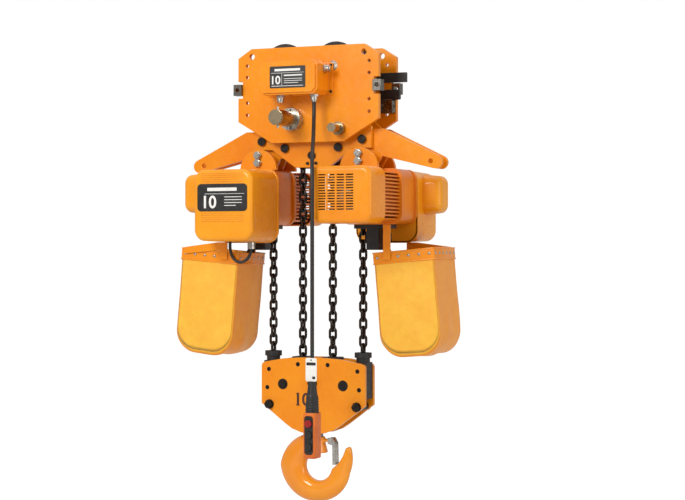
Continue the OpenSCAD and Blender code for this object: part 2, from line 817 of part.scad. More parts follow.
module hook_body() {
    sides = 20;
    angles = [for (i = [0 : hook_stations]) 100 + 290 * i / hook_stations];
    points = [for (a = angles) let (c = (hook_outer(a) + hook_inner(a)) / 2,
        half = (hook_outer(a) - hook_inner(a)) / 2, t = hook_thick(a)) for (k = [0 : sides - 1])
        let (q = 360 * k / sides, r = c + half * cos(q))
        [bowl_x + r * cos(a), t * sin(q), bowl_z + r * sin(a)]];
    polyhedron(points, skin(hook_stations + 1, sides), convexity = 6);
}

module hook() {
    color("#F08A1C") difference() {
        union() {
            hook_body();
            translate([0, 0, -1440]) cylinder(r1 = 38, r2 = 30, h = 44);
            translate([0, 0, -1396]) cylinder(r = 30, h = 10);
            translate([20, -13, latch_z - 11]) cube([latch_x - 12, 26, 22]);
        }
        bar_y(latch_x, latch_z, 4, -20, 20);
    }
    color("#8F8A84") {
        translate([0, 0, -1386]) cylinder(r = 22 - run, h = 124);
        translate([0, 0, pivot_z + 24 + gap]) cylinder(r = 33, h = 14);
        translate([0, 0, pivot_z + 38 + gap]) cylinder(r = 31, h = 26, $fn = 6);
    }
}

// Sprung latch, bent to a U, with its pin
module latch() {
    color("#BDB7AA") difference() {
        union() {
            for (y = [-13.4, 17]) upright(y, 3.6) polygon([[50, -1390], [70, -1390], [82, -1410],
                [84, -1492], [71, -1492], [70, -1420], [50, -1414]]);
            translate([70, -17, -1496]) cube([14, 34, 4]);
        }
        bar_y(latch_x, latch_z, 4, -30, 30);
    }
    color("silver") bar_y(latch_x, latch_z, 4 - run, -20, 20);
}

// ---- pendant ----

module pendant_cable() {
    color("#252423") tube(curve(cable_path, 4), cable_d / 2, 12);
}

// White tag, strain sleeve and flexible boot above the case
module pendant_boot() {
    translate([pendant_x, pendant_y, 0]) {
        color("#1A1918") difference() {
            union() {
                translate([0, 0, -1196]) cylinder(r1 = 22, r2 = 15, h = 54);
                translate([0, 0, case_z + case_h]) cylinder(r1 = 27, r2 = 24, h = -1196 - case_z - case_h);
            }
            translate([0, 0, -1170]) cylinder(r = cable_d / 2, h = 40);
        }
        color("white") translate([-23, -cable_d / 2 - 3, -1140]) cube([46, 2.5, 88]);
    }
}

module pendant_case() {
    color("#F2801E") translate([pendant_x, pendant_y, case_z]) difference() {
        linear_extrude(case_h) round_rect(52, 64, 12);
        translate([0, 0, 6]) linear_extrude(case_h - 12) round_rect(42, 54, 8);
        for (z = [132, 88, 44]) translate([0, -40, z]) rotate([-90, 0, 0]) cylinder(r = 14, h = 30);
    }
}

// A push button with its stem inside the case
module push_button(z) {
    translate([pendant_x, pendant_y, case_z + z]) rotate([90, 0, 0]) {
        translate([0, 0, 20]) cylinder(r = 14 - gap, h = 20);
        translate([0, 0, 0]) cylinder(r = 6, h = 20);
    }
}

module stop_button() color("#B3251F") push_button(132);
module up_button() color("#1A1918") push_button(88);
module down_button() color("#1A1918") push_button(44);

front_plate();
rear_plate();
wheel_axles();
front_left_wheel();
front_right_wheel();
rear_left_wheel();
rear_right_wheel();
drive_pinion();
travel_gearbox();
travel_motor();
load_shaft();
shaft_washers();
tie_shaft();
guide_blocks();
rubber_buffer();
limit_switch();
control_box();
box_lid();
box_screws();
cable_glands();
contactors();
nameplates();
suspension_plates();
hanger_arms();
suspension_pins();
chain_anchors();
hoist_ears();
ear_studs();
gearcases();
motor_housings();
left_rotor();
right_rotor();
fan_covers();
control_covers();
left_load_sheave();
right_load_sheave();
chain_guides();
dead_falls();
live_falls();
slack_chains();
control_lead();
bag_hangers();
left_bag();
right_bag();
bag_rims();
block_front();
block_rear();
left_block_sheave();
right_block_sheave();
block_bolts();
chain_bumpers();
crosshead();
hook();
latch();
pendant_cable();
pendant_boot();
pendant_case();
stop_button();
up_button();
down_button();
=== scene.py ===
# %% [markdown]
# # Electric chain hoist
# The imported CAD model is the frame: it holds every size, joint and mount. This notebook gives it its
# looks. Most machined pieces keep their CAD mesh and only get a finish. Pieces that a CAD kernel draws
# too plainly, such as chain links, canvas bags, moulded covers and the forged hook, are worked out here
# as surfaces and stand in for their CAD nodes.

# %% Load the frame
import bpy
import bmesh
import math
import numpy as np
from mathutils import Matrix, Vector


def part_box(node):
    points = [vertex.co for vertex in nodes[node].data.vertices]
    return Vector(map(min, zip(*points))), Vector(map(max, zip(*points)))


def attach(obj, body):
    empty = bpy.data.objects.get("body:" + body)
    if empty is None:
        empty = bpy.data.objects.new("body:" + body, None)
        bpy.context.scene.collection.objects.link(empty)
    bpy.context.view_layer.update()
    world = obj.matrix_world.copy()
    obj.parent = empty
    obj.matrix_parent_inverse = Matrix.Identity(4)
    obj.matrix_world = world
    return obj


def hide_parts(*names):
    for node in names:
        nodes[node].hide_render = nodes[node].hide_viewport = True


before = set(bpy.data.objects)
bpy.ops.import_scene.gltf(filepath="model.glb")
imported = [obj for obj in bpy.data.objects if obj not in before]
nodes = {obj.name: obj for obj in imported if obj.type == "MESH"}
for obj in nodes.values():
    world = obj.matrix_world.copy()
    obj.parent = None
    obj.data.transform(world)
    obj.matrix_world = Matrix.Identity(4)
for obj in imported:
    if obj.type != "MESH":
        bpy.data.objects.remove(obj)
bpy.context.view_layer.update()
MM = 0.001

# %% [markdown]
# ## Camera
# The hoist is seen from a little to its right, level with its middle, through a long lens, so that
# upright edges stay upright. The target point is beside the hoist's own axis, because the right side
# of the object reaches further than the left in this view.

# %% Camera
VIEW_AZIMUTH = math.radians(24)
VIEW_DISTANCE = 7.2
VIEW_HEIGHT = -0.646
SIDE_STEP = 0.098


def aim(obj, place, target):
    """Puts obj at place and turns its -Z axis to the target."""
    obj.location = place
    obj.rotation_euler = (Vector(target) - Vector(place)).to_track_quat("-Z", "Y").to_euler()


right_way = np.array([math.cos(VIEW_AZIMUTH), math.sin(VIEW_AZIMUTH), 0.0])
towards_eye = np.array([math.sin(VIEW_AZIMUTH), -math.cos(VIEW_AZIMUTH), 0.0])
target = SIDE_STEP * right_way + np.array([0, 0, VIEW_HEIGHT])
camera_data = bpy.data.cameras.new("camera")
camera_data.lens = 95
camera_data.sensor_width = 36
camera = bpy.data.objects.new("camera", camera_data)
bpy.context.scene.collection.objects.link(camera)
aim(camera, target + VIEW_DISTANCE * towards_eye, target)
bpy.context.scene.camera = camera
print("camera at", [round(v, 3) for v in camera.location])

# %% [markdown]
# ## Helpers for surfaces
# Every new piece is a grid of points P[row, column] that numpy works out in one go. The same helper
# joins neighbouring points into four-sided faces, and closes the ends with one flat face each.


# %% Surface helpers
def put_in_scene(name, verts, faces, smooth=True):
    """Makes an object from points and faces, with its normals turned outwards."""
    mesh = bpy.data.meshes.new(name)
    mesh.from_pydata(np.asarray(verts).reshape(-1, 3).tolist(), [], faces)
    work = bmesh.new()
    work.from_mesh(mesh)
    bmesh.ops.remove_doubles(work, verts=work.verts, dist=1e-6)
    bmesh.ops.recalc_face_normals(work, faces=work.faces)
    work.to_mesh(mesh)
    work.free()
    mesh.polygons.foreach_set("use_smooth", [smooth] * len(mesh.polygons))
    obj = bpy.data.objects.new(name, mesh)
    bpy.context.scene.collection.objects.link(obj)
    return obj


def grid_faces(rows, cols, wrap_rows=False, wrap_cols=False, start=0):
    """Four corners for each cell of a grid whose point (r, c) has the number start + r * cols + c."""
    r = np.arange(rows if wrap_rows else rows - 1)[:, None]
    c = np.arange(cols if wrap_cols else cols - 1)[None, :]
    r2, c2 = (r + 1) % rows, (c + 1) % cols
    quads = np.stack([r * cols + c, r * cols + c2, r2 * cols + c2, r2 * cols + c], -1)
    return (quads.reshape(-1, 4) + start).tolist()


def tube_of_rings(P, caps=(True, True), closed=False):
    """Points and faces of rings P[ring, point], joined in a row, with a flat face on capped ends."""
    rings, sides = P.shape[:2]
    faces = grid_faces(rings, sides, wrap_rows=closed, wrap_cols=True)
    if not closed and caps[0]:
        faces.append(list(range(sides))[::-1])
    if not closed and caps[1]:
        faces.append([(rings - 1) * sides + k for k in range(sides)])
    return P.reshape(-1, 3), faces


def join_parts(parts):
    """One list of points and faces out of several, each face renumbered past the points before it."""
    verts, faces, count = [], [], 0
    for v, f in parts:
        verts.append(np.asarray(v).reshape(-1, 3))
        faces += [[i + count for i in face] for face in f]
        count += len(verts[-1])
    return np.concatenate(verts), faces


def finish_modifiers(obj):
    """Bakes every modifier into the mesh."""
    bpy.context.view_layer.update()
    shape = bpy.data.meshes.new_from_object(obj.evaluated_get(bpy.context.evaluated_depsgraph_get()))
    obj.modifiers.clear()
    obj.data = shape
    return obj


def half_turn(points):
    """Turns points by 180 degrees about Z, which carries the right hoist to the left one."""
    return np.asarray(points) * np.array([-1, -1, 1])


def smooth_path(points, steps):
    """Catmull-Rom curve through the points: each span is a cubic that leaves and reaches its ends
    along the line between the neighbours of that end."""
    p = np.asarray(points, float)
    a, b, c, d = (p[np.clip(np.arange(len(p) - 1) + k, 0, len(p) - 1)][:, None] for k in (-1, 0, 1, 2))
    t = (np.arange(steps) / steps)[None, :, None]
    square, cube = 2 * a - 5 * b + 4 * c - d, 3 * b - a - 3 * c + d
    span = 0.5 * (2 * b + t * (c - a) + t**2 * square + t**3 * cube)
    return np.concatenate([span.reshape(-1, 3), p[-1:]])


def sweep(path, radius, sides, reference=(1, 0, 0)):
    """Rings round a path: centre + radius * (cos q * side + sin q * up), where side is the reference
    direction with its part along the path taken away."""
    path = np.asarray(path, float)
    along = np.gradient(path, axis=0)
    along /= np.linalg.norm(along, axis=1)[:, None]
    ref = np.asarray(reference, float)
    side = ref - (along @ ref)[:, None] * along
    side /= np.linalg.norm(side, axis=1)[:, None]
    up = np.cross(along, side)
    q = 2 * np.pi * np.arange(sides) / sides
    r = np.broadcast_to(radius, len(path))[:, None, None]
    return path[:, None] + r * (side[:, None] * np.cos(q)[:, None] + up[:, None] * np.sin(q)[:, None])


def lathe(profile, centre, axis="z", sides=40):
    """Turns a profile of (radius, height) pairs about an axis through the centre."""
    prof = np.asarray(profile, float)
    q = 2 * np.pi * np.arange(sides) / sides
    ring = np.stack([np.cos(q), np.sin(q)], -1)
    flat = prof[:, 0][:, None, None] * ring
    high = np.broadcast_to(prof[:, 1][:, None, None], flat.shape[:2] + (1,))
    order = {"z": (0, 1, 2), "y": (0, 2, 1), "x": (2, 0, 1)}[axis]
    return np.concatenate([flat, high], -1)[..., order] + np.asarray(centre)


def box_at(lo, hi):
    """The eight corners and six faces of a box between two corners."""
    lo, hi = np.asarray(lo, float), np.asarray(hi, float)
    pick = np.array([[0, 0], [1, 0], [1, 1], [0, 1]])
    rings = [np.stack([np.where(pick[:, 0], hi[0], lo[0]), np.where(pick[:, 1], hi[1], lo[1]),
                       np.full(4, z)], -1) for z in (lo[2], hi[2])]
    return tube_of_rings(np.stack(rings))


print("surface helpers ready")

# %% [markdown]
# ## The pendant cable
# A heavy rubber-sheathed control cable, 15 mm thick. It leaves a gland under the control box, leans
# out past the motor, and then hangs straight down under the weight of the push-button case. Its route
# is the list of points that the CAD tube follows, in metres, with one smooth curve through them.

# %% Pendant cable
CABLE_D = 15 * MM
CABLE_ROUTE = MM * np.array([
    [63, -172, -60], [63, -172, -95], [66, -180, -135], [80, -213, -185], [104, -270, -238],
    [129, -330, -288], [143, -362, -335], [148, -371, -395], [148, -372, -480], [148, -372, -650],
    [148, -372, -820], [148, -372, -1000], [148, -372, -1170]])
cable_line = smooth_path(CABLE_ROUTE, 8)
cable = put_in_scene("cable_sheath", *tube_of_rings(sweep(cable_line, CABLE_D / 2, 24)))
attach(cable, "trolley")
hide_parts("pendant_cable")

# %% [markdown]
# ## The control lead
# A short rubber lead that loops out of the left hoist's cover and back into a gland beside it.

# %% Control lead
LEAD_D = 12 * MM
LEAD_ROUTE = MM * np.array([
    [-282, -214, -612], [-281, -214, -645], [-268, -214, -678], [-240, -212, -694],
    [-212, -208, -684], [-196, -204, -655], [-194, -203, -630]])
lead = put_in_scene("lead_sheath", *tube_of_rings(
    sweep(smooth_path(LEAD_ROUTE, 8), LEAD_D / 2, 16, reference=(0, 1, 0))))
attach(lead, "trolley")
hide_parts("control_lead")
print("lead made")

# %% [markdown]
# ## Chain
# Round-steel load chain: 11.2 mm wire, 34 mm pitch, every link turned a quarter against the next. One
# link is a torus pulled long: its wire's centreline is two half circles joined by two straights. All
# links of a run are copies of one small grid, so a run of a hundred links stays light.


# %% Chain links
WIRE = 11.2 * MM
PITCH = 34 * MM
LINK_W = 3.3 * WIRE


def link_grid(along=24, around=8):
    """Wire surface of one link in the X-Z plane: centreline (bend radius, straight) plus the wire
    radius in the directions across it."""
    bend = (LINK_W - WIRE) / 2
    straight = PITCH / 2 + WIRE / 2 - bend
    a = 2 * np.pi * (np.arange(along) + 0.5) / along
    out = np.stack([np.cos(a), 0 * a, np.sin(a)], -1)
    centre = bend * out + np.stack([0 * a, 0 * a, straight * np.sign(np.sin(a))], -1)
    q = 2 * np.pi * np.arange(around) / around
    across = np.array([0, 1, 0])
    wire = WIRE / 2 * (np.cos(q)[None, :, None] * out[:, None] + np.sin(q)[None, :, None] * across)
    return centre[:, None] + wire


def chain_run(x, z_top, z_low):
    """Points and faces of a hanging run between two heights, every second link turned a quarter."""
    grid = link_grid()
    count = int((z_top - z_low) / PITCH)
    quarter = grid[..., [1, 0, 2]] * np.array([-1, 1, 1])
    places = [(quarter if i % 2 else grid) + np.array([x, 0, z_top - PITCH * (i + 0.5)])
              for i in range(count)]
    parts = [(p, grid_faces(*p.shape[:2], wrap_rows=True, wrap_cols=True)) for p in places]
    return join_parts(parts)


def fall_piece(name, node, body, x, z_top, z_low):
    """The left and right runs of one kind as one piece that stands for its CAD node."""
    runs = [chain_run(side * x, z_top, z_low) for side in (-1, 1)]
    piece = put_in_scene(name, *join_parts(runs))
    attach(piece, body)
    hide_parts(node)
    return piece


dead_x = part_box("dead_falls")[1][0] - LINK_W / 2
live_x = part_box("live_falls")[1][0] - LINK_W / 2
slack_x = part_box("slack_chains")[1][0] - LINK_W / 2
FALL_TOP, FALL_LOW, DEAD_TOP, SLACK_LOW = -0.512, -1.098, -0.282, -0.770
dead_chain = fall_piece("dead_fall_chain", "dead_falls", "hook_block", dead_x, DEAD_TOP, FALL_LOW)
live_chain = fall_piece("live_fall_chain", "live_falls", "hook_block", live_x, FALL_TOP, FALL_LOW)
slack_chain = fall_piece("slack_chain", "slack_chains", "trolley", slack_x, FALL_TOP, SLACK_LOW)
print("links drawn, faces:", sum(len(c.data.polygons) for c in (dead_chain, live_chain, slack_chain)))

# %% [markdown]
# ## Covers
# The hoists' plastic and sheet covers are deep pressings with generous round corners. Each is a loft:
# a row of rounded rectangles along the hoist's axis, drawn in a little at the end so that the front
# edge is round too. The louvres and cooling slots are then cut through it.


# %% Cover shapes
def round_outline(width, height, corner, steps=10):
    """Rounded rectangle: four quarter circles of the corner radius about the four inner corners."""
    q = np.linspace(0, np.pi / 2, steps)
    arcs = []
    for k, (sx, sz) in enumerate([(1, 1), (-1, 1), (-1, -1), (1, -1)]):
        centre = np.array([sx * (width / 2 - corner), sz * (height / 2 - corner)])
        a = q + k * np.pi / 2
        arcs.append(centre + corner * np.stack([np.cos(a), np.sin(a)], -1))
    return np.concatenate(arcs)


def rounded_loft(width, height, corner, back, front, fillet, back_fillet=0.0, steps=7, taper=0.0):
    """Rings from back to front along one axis. Near an end the ring is drawn in by f(1 - cos t) while
    it moves on by f sin t, which is a quarter circle of the fillet radius. A taper draws the front
    in by that much more."""
    t = np.linspace(0, np.pi / 2, steps)
    way = np.sign(front - back)
    inset, place = [np.zeros(1)], [np.array([back])]
    if back_fillet:
        inset = [back_fillet * (1 - np.cos(t[::-1]))]
        place = [back + way * back_fillet * (1 - np.sin(t[::-1]))]
    inset += [fillet * (1 - np.cos(t)), np.array([fillet + 2 * MM])]
    place += [front - way * fillet * (1 - np.sin(t)), np.array([front])]
    inset, place = np.concatenate(inset), np.concatenate(place)
    inset = inset + taper * (place - back) / (front - back)
    outlines = [round_outline(width - 2 * d, height - 2 * d, max(corner - d, 2 * MM)) for d in inset]
    rings = [np.insert(outline, 1, y, axis=1) for outline, y in zip(outlines, place)]
    return np.stack(rings)


def cut(obj, points, faces):
    """Takes the shape with these points and faces out of obj."""
    cutter = put_in_scene("cutter", points, faces)
    change = obj.modifiers.new("cut", "BOOLEAN")
    change.operation = "DIFFERENCE"
    change.solver = "EXACT"
    change.object = cutter
    finish_modifiers(obj)
    bpy.data.objects.remove(cutter)
    return crease(obj)


def crease(obj, degrees=32):
    """Smooth shading that stops at every edge sharper than the angle."""
    obj.data.polygons.foreach_set("use_smooth", [True] * len(obj.data.polygons))
    obj.data.set_sharp_from_angle(angle=math.radians(degrees))
    return obj


def louvres(x, y, z, columns, rows, size, step):
    """A field of slots as boxes, size = (wide, deep, high), repeated along X and Z."""
    at = [(x + c * step[0], z + r * step[1]) for c in range(columns) for r in range(rows)]
    return join_parts([box_at((u, y - size[1], w), (u + size[0], y + size[1], w + size[2]))
                       for u, w in at])


print("cover shapes ready")

# %% [markdown]
# ## Fan covers
# A pressed steel cowl over the motor's fan, 4.5 mm thick, with four columns of fourteen air slots.

# %% Fan covers
HOIST_X, HOIST_Z = 0.248, -0.437
HOIST_END, MOTOR_Y = 0.345, 0.203
FAN_W, FAN_H, FAN_CORNER = 0.255, 0.218, 0.038
SKIN = 4.5 * MM
AIR_SLOT, AIR_STEP = (0.031, 0.012, 0.005), (0.038, 0.010)


def fan_cover(name, turned):
    """One cowl: an outer loft, less an inner one a skin's thickness smaller, less the slots."""
    place = np.array([HOIST_X, 0, HOIST_Z])
    turn = half_turn if turned else np.asarray
    shell = rounded_loft(FAN_W, FAN_H, FAN_CORNER, -MOTOR_Y - 0.4 * MM, -HOIST_END, 18 * MM) + place
    hollow = rounded_loft(FAN_W - 2 * SKIN, FAN_H - 2 * SKIN, FAN_CORNER - 4 * MM, -MOTOR_Y + 5 * MM,
                          -HOIST_END + SKIN, 14 * MM) + place
    slots, slot_faces = louvres(HOIST_X - 0.088, -HOIST_END, HOIST_Z - 0.058, 4, 14, AIR_SLOT, AIR_STEP)
    cover = put_in_scene(name, *tube_of_rings(turn(shell)))
    cut(cover, *tube_of_rings(turn(hollow)))
    cut(cover, turn(slots), slot_faces)
    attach(cover, "trolley")
    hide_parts("fan_covers")
    return cover


fan_cowls = [fan_cover("right_fan_cowl", False), fan_cover("left_fan_cowl", True)]
print("fan cowls, faces:", [len(c.data.polygons) for c in fan_cowls])

# %% [markdown]
# ## Control covers
# A moulded cover over each hoist's switchgear. Its front edge is a broad round, five thin louvres sit
# above and below the nameplate, and a swollen boss stands out of one side.

# %% Control covers
COVER_W, COVER_TOP, COVER_BASE, COVER_BACK = 0.262, -0.330, -0.615, 0.1174
COVER_CORNER, COVER_TAPER = 0.048, 4 * MM
COVER_SLOT, COVER_STEP = (0.184, 0.0018, 0.003), (0, 0.008)
DENT_AT = np.array([HOIST_X - COVER_W / 2, 0.262, COVER_BASE + 0.062])
BOSS_AT = np.array([HOIST_X + COVER_W / 2 - 2 * MM, 0.236, -0.424])


def control_cover(name, turned):
    """The hollow moulding with its louvres and dent, the boss on its side, and the lip at its back."""
    turn = half_turn if turned else np.asarray
    height = COVER_TOP - COVER_BASE
    place = np.array([HOIST_X, 0, (COVER_TOP + COVER_BASE) / 2])
    shell = rounded_loft(COVER_W, height, COVER_CORNER, COVER_BACK, HOIST_END, 17 * MM,
                         taper=COVER_TAPER) + place
    hollow = rounded_loft(COVER_W - 2 * SKIN, height - 2 * SKIN, COVER_CORNER - 4 * MM,
                          COVER_BACK - 5 * MM, HOIST_END - SKIN, 13 * MM, taper=COVER_TAPER) + place
    cover = put_in_scene(name, *tube_of_rings(turn(shell)))
    cut(cover, *tube_of_rings(turn(hollow)))
    for lowest in (COVER_TOP - 0.054, COVER_BASE + 0.077):
        slots, faces = louvres(HOIST_X - 0.092, HOIST_END, lowest, 1, 5, COVER_SLOT, COVER_STEP)
        cut(cover, turn(slots), faces)
    dent = rounded_loft(0.096, 0.062, 0.016, -0.012, 0.0035, 1 * MM)[..., [1, 0, 2]] + DENT_AT
    cut(cover, *tube_of_rings(turn(dent)))
    lip = rounded_loft(COVER_W + 6 * MM, height + 6 * MM, COVER_CORNER + 2 * MM, COVER_BACK + 11 * MM,
                       COVER_BACK, 2 * MM, 2 * MM, steps=4)
    rim = crease(put_in_scene(name + "_lip", *tube_of_rings(turn(lip + place))), 60)
    boss = rounded_loft(0.120, 0.160, 0.040, 0, 0.075, 24 * MM, taper=8 * MM)[..., [1, 0, 2]] + BOSS_AT
    lump = crease(put_in_scene(name + "_boss", *tube_of_rings(turn(boss))), 40)
    for piece in (cover, lump, rim):
        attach(piece, "trolley")
        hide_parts("control_covers")
    return [cover, lump, rim]


control_mouldings = control_cover("right_control_cover", False)
control_mouldings += control_cover("left_control_cover", True)
print("control covers, faces:", [len(c.data.polygons) for c in control_mouldings])

# %% [markdown]
# ## Limit switch
# The travel limit switch is a black moulded block over a bracket. The bracket is plated strip bent to
# a U, with a round hole through each cheek.

# %% Limit switch
SWITCH = MM * np.array([[240, 65, -52], [325, 80, -12]])
BRACKET = MM * np.array([[240, 44, -106], [302, 80, -52.2]])


def block_between(lo, hi, corner, fillet):
    """A box between two corners with rounded uprights and rounded front and back edges."""
    size, mid = hi - lo, (hi + lo) / 2
    ring = rounded_loft(size[0], size[2], corner, size[1] / 2, -size[1] / 2, fillet, fillet, steps=4)
    return tube_of_rings(ring + mid)


switch = crease(put_in_scene("limit_switch_body", *block_between(*SWITCH, 5 * MM, 2 * MM)), 50)
bracket = put_in_scene("limit_switch_bracket", *block_between(*BRACKET, 6 * MM, 0.6 * MM))
cut(bracket, *block_between(
    BRACKET[0] + MM * np.array([5, -10, 5]), BRACKET[1] - MM * np.array([5, 4, 4]), 3 * MM, 0.4 * MM))
cut(bracket, *tube_of_rings(lathe([(7 * MM, -0.05), (7 * MM, 0.05)], (0.271, 0.062, -0.079), "x", 24)))
for piece, slot in ((switch, "black_plastic"), (bracket, "zinc")):
    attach(piece, "trolley")
    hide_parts("limit_switch")
print("limit switch made")

# %% [markdown]
# ## Chain bags
# Two coated-canvas bags catch the slack chain. A bag is sewn from a long gusset, which runs down one
# side, under the bottom and up the other, and from two flat panels. The chain's weight makes the
# panels belly out and the cloth pucker beside the seams. Rows of the grid run from the middle of the
# front panel's top edge out to its seam, over the gusset, and in again on the back panel.

# %% Bag cloth
BAG_W, BAG_D, BAG_H, BAG_CORNER = 0.250, 0.230, 0.410, 0.085
BAG_AT, BAG_TILT = np.array([0.380, 0.080, -0.650]), math.radians(5)
SEAM_ROUND = 9 * MM
PANEL_ROWS, FOLD_ROWS, GUSSET_ROWS = 26, 5, 24


def u_profile(points):
    """Down one side, round a corner, along the bottom and up again, evenly spaced by length."""
    half, low = BAG_W / 2, -BAG_H
    q = np.linspace(0, np.pi / 2, 24)
    arc = np.stack([-(half - BAG_CORNER) - BAG_CORNER * np.cos(q),
                    low + BAG_CORNER * (1 - np.sin(q))], -1)
    line = np.concatenate([[[-half, 0]], arc, arc[::-1] * [-1, 1], [[half, 0]]])
    run = np.concatenate([[0], np.cumsum(np.linalg.norm(np.diff(line, axis=0), axis=1))])
    s = np.linspace(0, run[-1], points)
    return np.stack([np.interp(s, run, line[:, 0]), np.interp(s, run, line[:, 1])], -1)


def to_bag(points):
    """Tilts a bag's own coordinates outwards and carries them under the right hoist."""
    c, s = math.cos(BAG_TILT), math.sin(BAG_TILT)
    turn = np.array([[c, 0, -s], [0, 1, 0], [s, 0, c]])
    return points @ turn.T + BAG_AT


def bag_points(seed, around=150):
    """The grid P[row, along the seam]: row fans out from the top middle, P = fan * edge at depth deep.
    Ripples are a sum of nine sines, and everything grows with the distance below the rim."""
    edge = u_profile(around)
    t = np.linspace(0, np.pi / 2, FOLD_ROWS + 1)[1:]
    part = np.linspace(0.03, 0.965, PANEL_ROWS)
    fan = np.concatenate([part, 1 - SEAM_ROUND * (1 - np.sin(t)) / (BAG_W / 2), np.ones(GUSSET_ROWS)])
    deep = np.concatenate([np.full(PANEL_ROWS, -BAG_D / 2), -BAG_D / 2 + SEAM_ROUND * (1 - np.cos(t)),
                           np.linspace(-BAG_D / 2 + 1.6 * SEAM_ROUND, 0, GUSSET_ROWS + 1)[:-1]])
    fan = np.concatenate([fan, [1.0], fan[::-1]])
    deep = np.concatenate([deep, [0.0], -deep[::-1]])
    x = fan[:, None] * edge[None, :, 0]
    z = fan[:, None] * edge[None, :, 1]
    y = np.broadcast_to(deep[:, None], x.shape).copy()
    drop = np.clip(-z / BAG_H, 0, 1)
    rng = np.random.default_rng(seed)
    ripple = np.zeros_like(x)
    for _ in range(9):
        k = rng.uniform(12, 60, 3) * rng.choice([-1, 1], 3)
        ripple += np.sin(k[0] * x + k[1] * y + 0.6 * k[2] * z + rng.uniform(0, 6.28)) / 9
    inside = (1 - np.abs(fan) ** 5)[:, None]
    belly = np.sin(np.pi * drop**0.8) * (1 - (x / (BAG_W / 2)) ** 2).clip(0) * inside
    y += np.sign(deep)[:, None] * drop**0.5 * (8 * MM * belly + 7 * MM * ripple * inside**0.5)
    slack = (np.abs(fan) > 0.9)[:, None] * drop * (1 - 0.7 * (2 * deep / BAG_D)[:, None] ** 2)
    puff = slack * (2 * MM + 9 * MM * ripple)
    length = np.hypot(edge[:, 0], edge[:, 1] + BAG_H * 0.55)
    x += puff * (edge[:, 0] / length)[None]
    z += puff * ((edge[:, 1] + BAG_H * 0.55) / length)[None] * (drop > 0.3)
    return np.stack([x, y, z], -1)


def sewn_piece(name, points_list):
    """Cloth grids joined in one piece and given the thickness of the canvas."""
    cloth = put_in_scene(name, *join_parts([(P, grid_faces(*P.shape[:2])) for P in points_list]))
    skin = cloth.modifiers.new("cloth thickness", "SOLIDIFY")
    skin.thickness = 2.4 * MM
    skin.offset = -1
    return finish_modifiers(cloth)


def soft_bag(name, node, seed, turned):
    """Panels, gusset and piping. The piping sits on the seam: the grid row that leaves the panel's
    edge half way round the fold."""
    turn = half_turn if turned else np.asarray
    P = turn(to_bag(bag_points(seed)))
    last, half_round = len(P) - 1, PANEL_ROWS + FOLD_ROWS // 2
    panels = sewn_piece(name + "_panels", [P[:half_round + 1], P[last - half_round:]])
    gusset = sewn_piece(name + "_gusset", [P[half_round:last - half_round + 1]])
    welts = [tube_of_rings(sweep(P[row], 2.2 * MM, 10, reference=(0, 1, 0)))
             for row in (half_round, last - half_round)]
    piping = put_in_scene(name + "_piping", *join_parts(welts))
    for piece in (panels, gusset, piping):
        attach(piece, "trolley")
        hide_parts(node)
    return [panels, gusset, piping]


bag_cloth = soft_bag("right_bag_cloth", "right_bag", 3, False)
bag_cloth += soft_bag("left_bag_cloth", "left_bag", 8, True)
print("bag pieces, faces:", [len(p.data.polygons) for p in bag_cloth])

# %% [markdown]
# ## Bag rims
# Each bag hangs from a folded sheet-metal rim. Six domed rivets a side clamp the cloth to it. Two
# small folds, at the top and the bottom edge, stiffen the sheet.

# %% Bag rims
RIM_H, RIM_DROP = 48 * MM, 4 * MM


def rim_ring(half_x, half_y, z_top, z_low, out):
    """A square ring with a rounded rim: the profile's half width grows by out at its middle."""
    t = np.linspace(0, np.pi, 7)
    outer = np.stack([out * np.sin(t), z_low + (z_top - z_low) * (1 - np.cos(t)) / 2], -1)
    profile = np.concatenate([outer, [[-1.5 * MM, z_top], [-1.5 * MM, z_low]]])
    corner = round_outline(2, 2, 0.03, 4)
    rings = [np.stack([corner[:, 0] * (half_x + d), corner[:, 1] * (half_y + d),
                       np.full(len(corner), z)], -1) for d, z in profile]
    return tube_of_rings(np.stack(rings), closed=True)


def rivet_rows():
    """Low domes: radius 6 mm at the sheet, closing on a cap 3 mm out."""
    q = np.linspace(0, np.pi / 2 - 0.08, 5)
    dome = np.stack([6 * MM * np.cos(q), 3 * MM * np.sin(q)], -1)
    hx, hy = BAG_W / 2 + 3 * MM, BAG_D / 2 + 3 * MM
    rows = []
    for way in (-1, 1):
        for x in np.linspace(-BAG_W / 2 + 0.016, BAG_W / 2 - 0.016, 6):
            rows.append(lathe(dome * [1, way], (x, way * hy, -18 * MM), "y", 16))
        for y in np.linspace(-BAG_D / 2 + 0.016, BAG_D / 2 - 0.016, 6):
            rows.append(lathe(dome * [1, way], (way * hx, y, -18 * MM), "x", 16))
    return rows


def bag_rim(name, turned):
    """The sheet with its two folds, and the rivets through it."""
    turn = half_turn if turned else np.asarray
    hx, hy = BAG_W / 2 + 1.8 * MM, BAG_D / 2 + 1.8 * MM
    sheet = [rim_ring(hx, hy, RIM_DROP, RIM_DROP - RIM_H, 1.2 * MM),
             rim_ring(hx + 1 * MM, hy + 1 * MM, RIM_DROP, RIM_DROP - 6 * MM, 2.2 * MM),
             rim_ring(hx + 1 * MM, hy + 1 * MM, RIM_DROP - RIM_H + 6 * MM, RIM_DROP - RIM_H, 2.2 * MM)]
    points, faces = join_parts(sheet)
    band = crease(put_in_scene(name, turn(to_bag(points)), faces))
    points, faces = join_parts([tube_of_rings(r) for r in rivet_rows()])
    rivets = put_in_scene(name + "_rivets", turn(to_bag(points)), faces)
    for piece, slot in ((band, "orange_paint"), (rivets, "zinc")):
        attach(piece, "trolley")
        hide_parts("bag_rims")
    return [band, rivets]


right_rim, left_rim = bag_rim("right_bag_rim", False), bag_rim("left_bag_rim", True)
print("rims with", len(rivet_rows()), "rivets each")

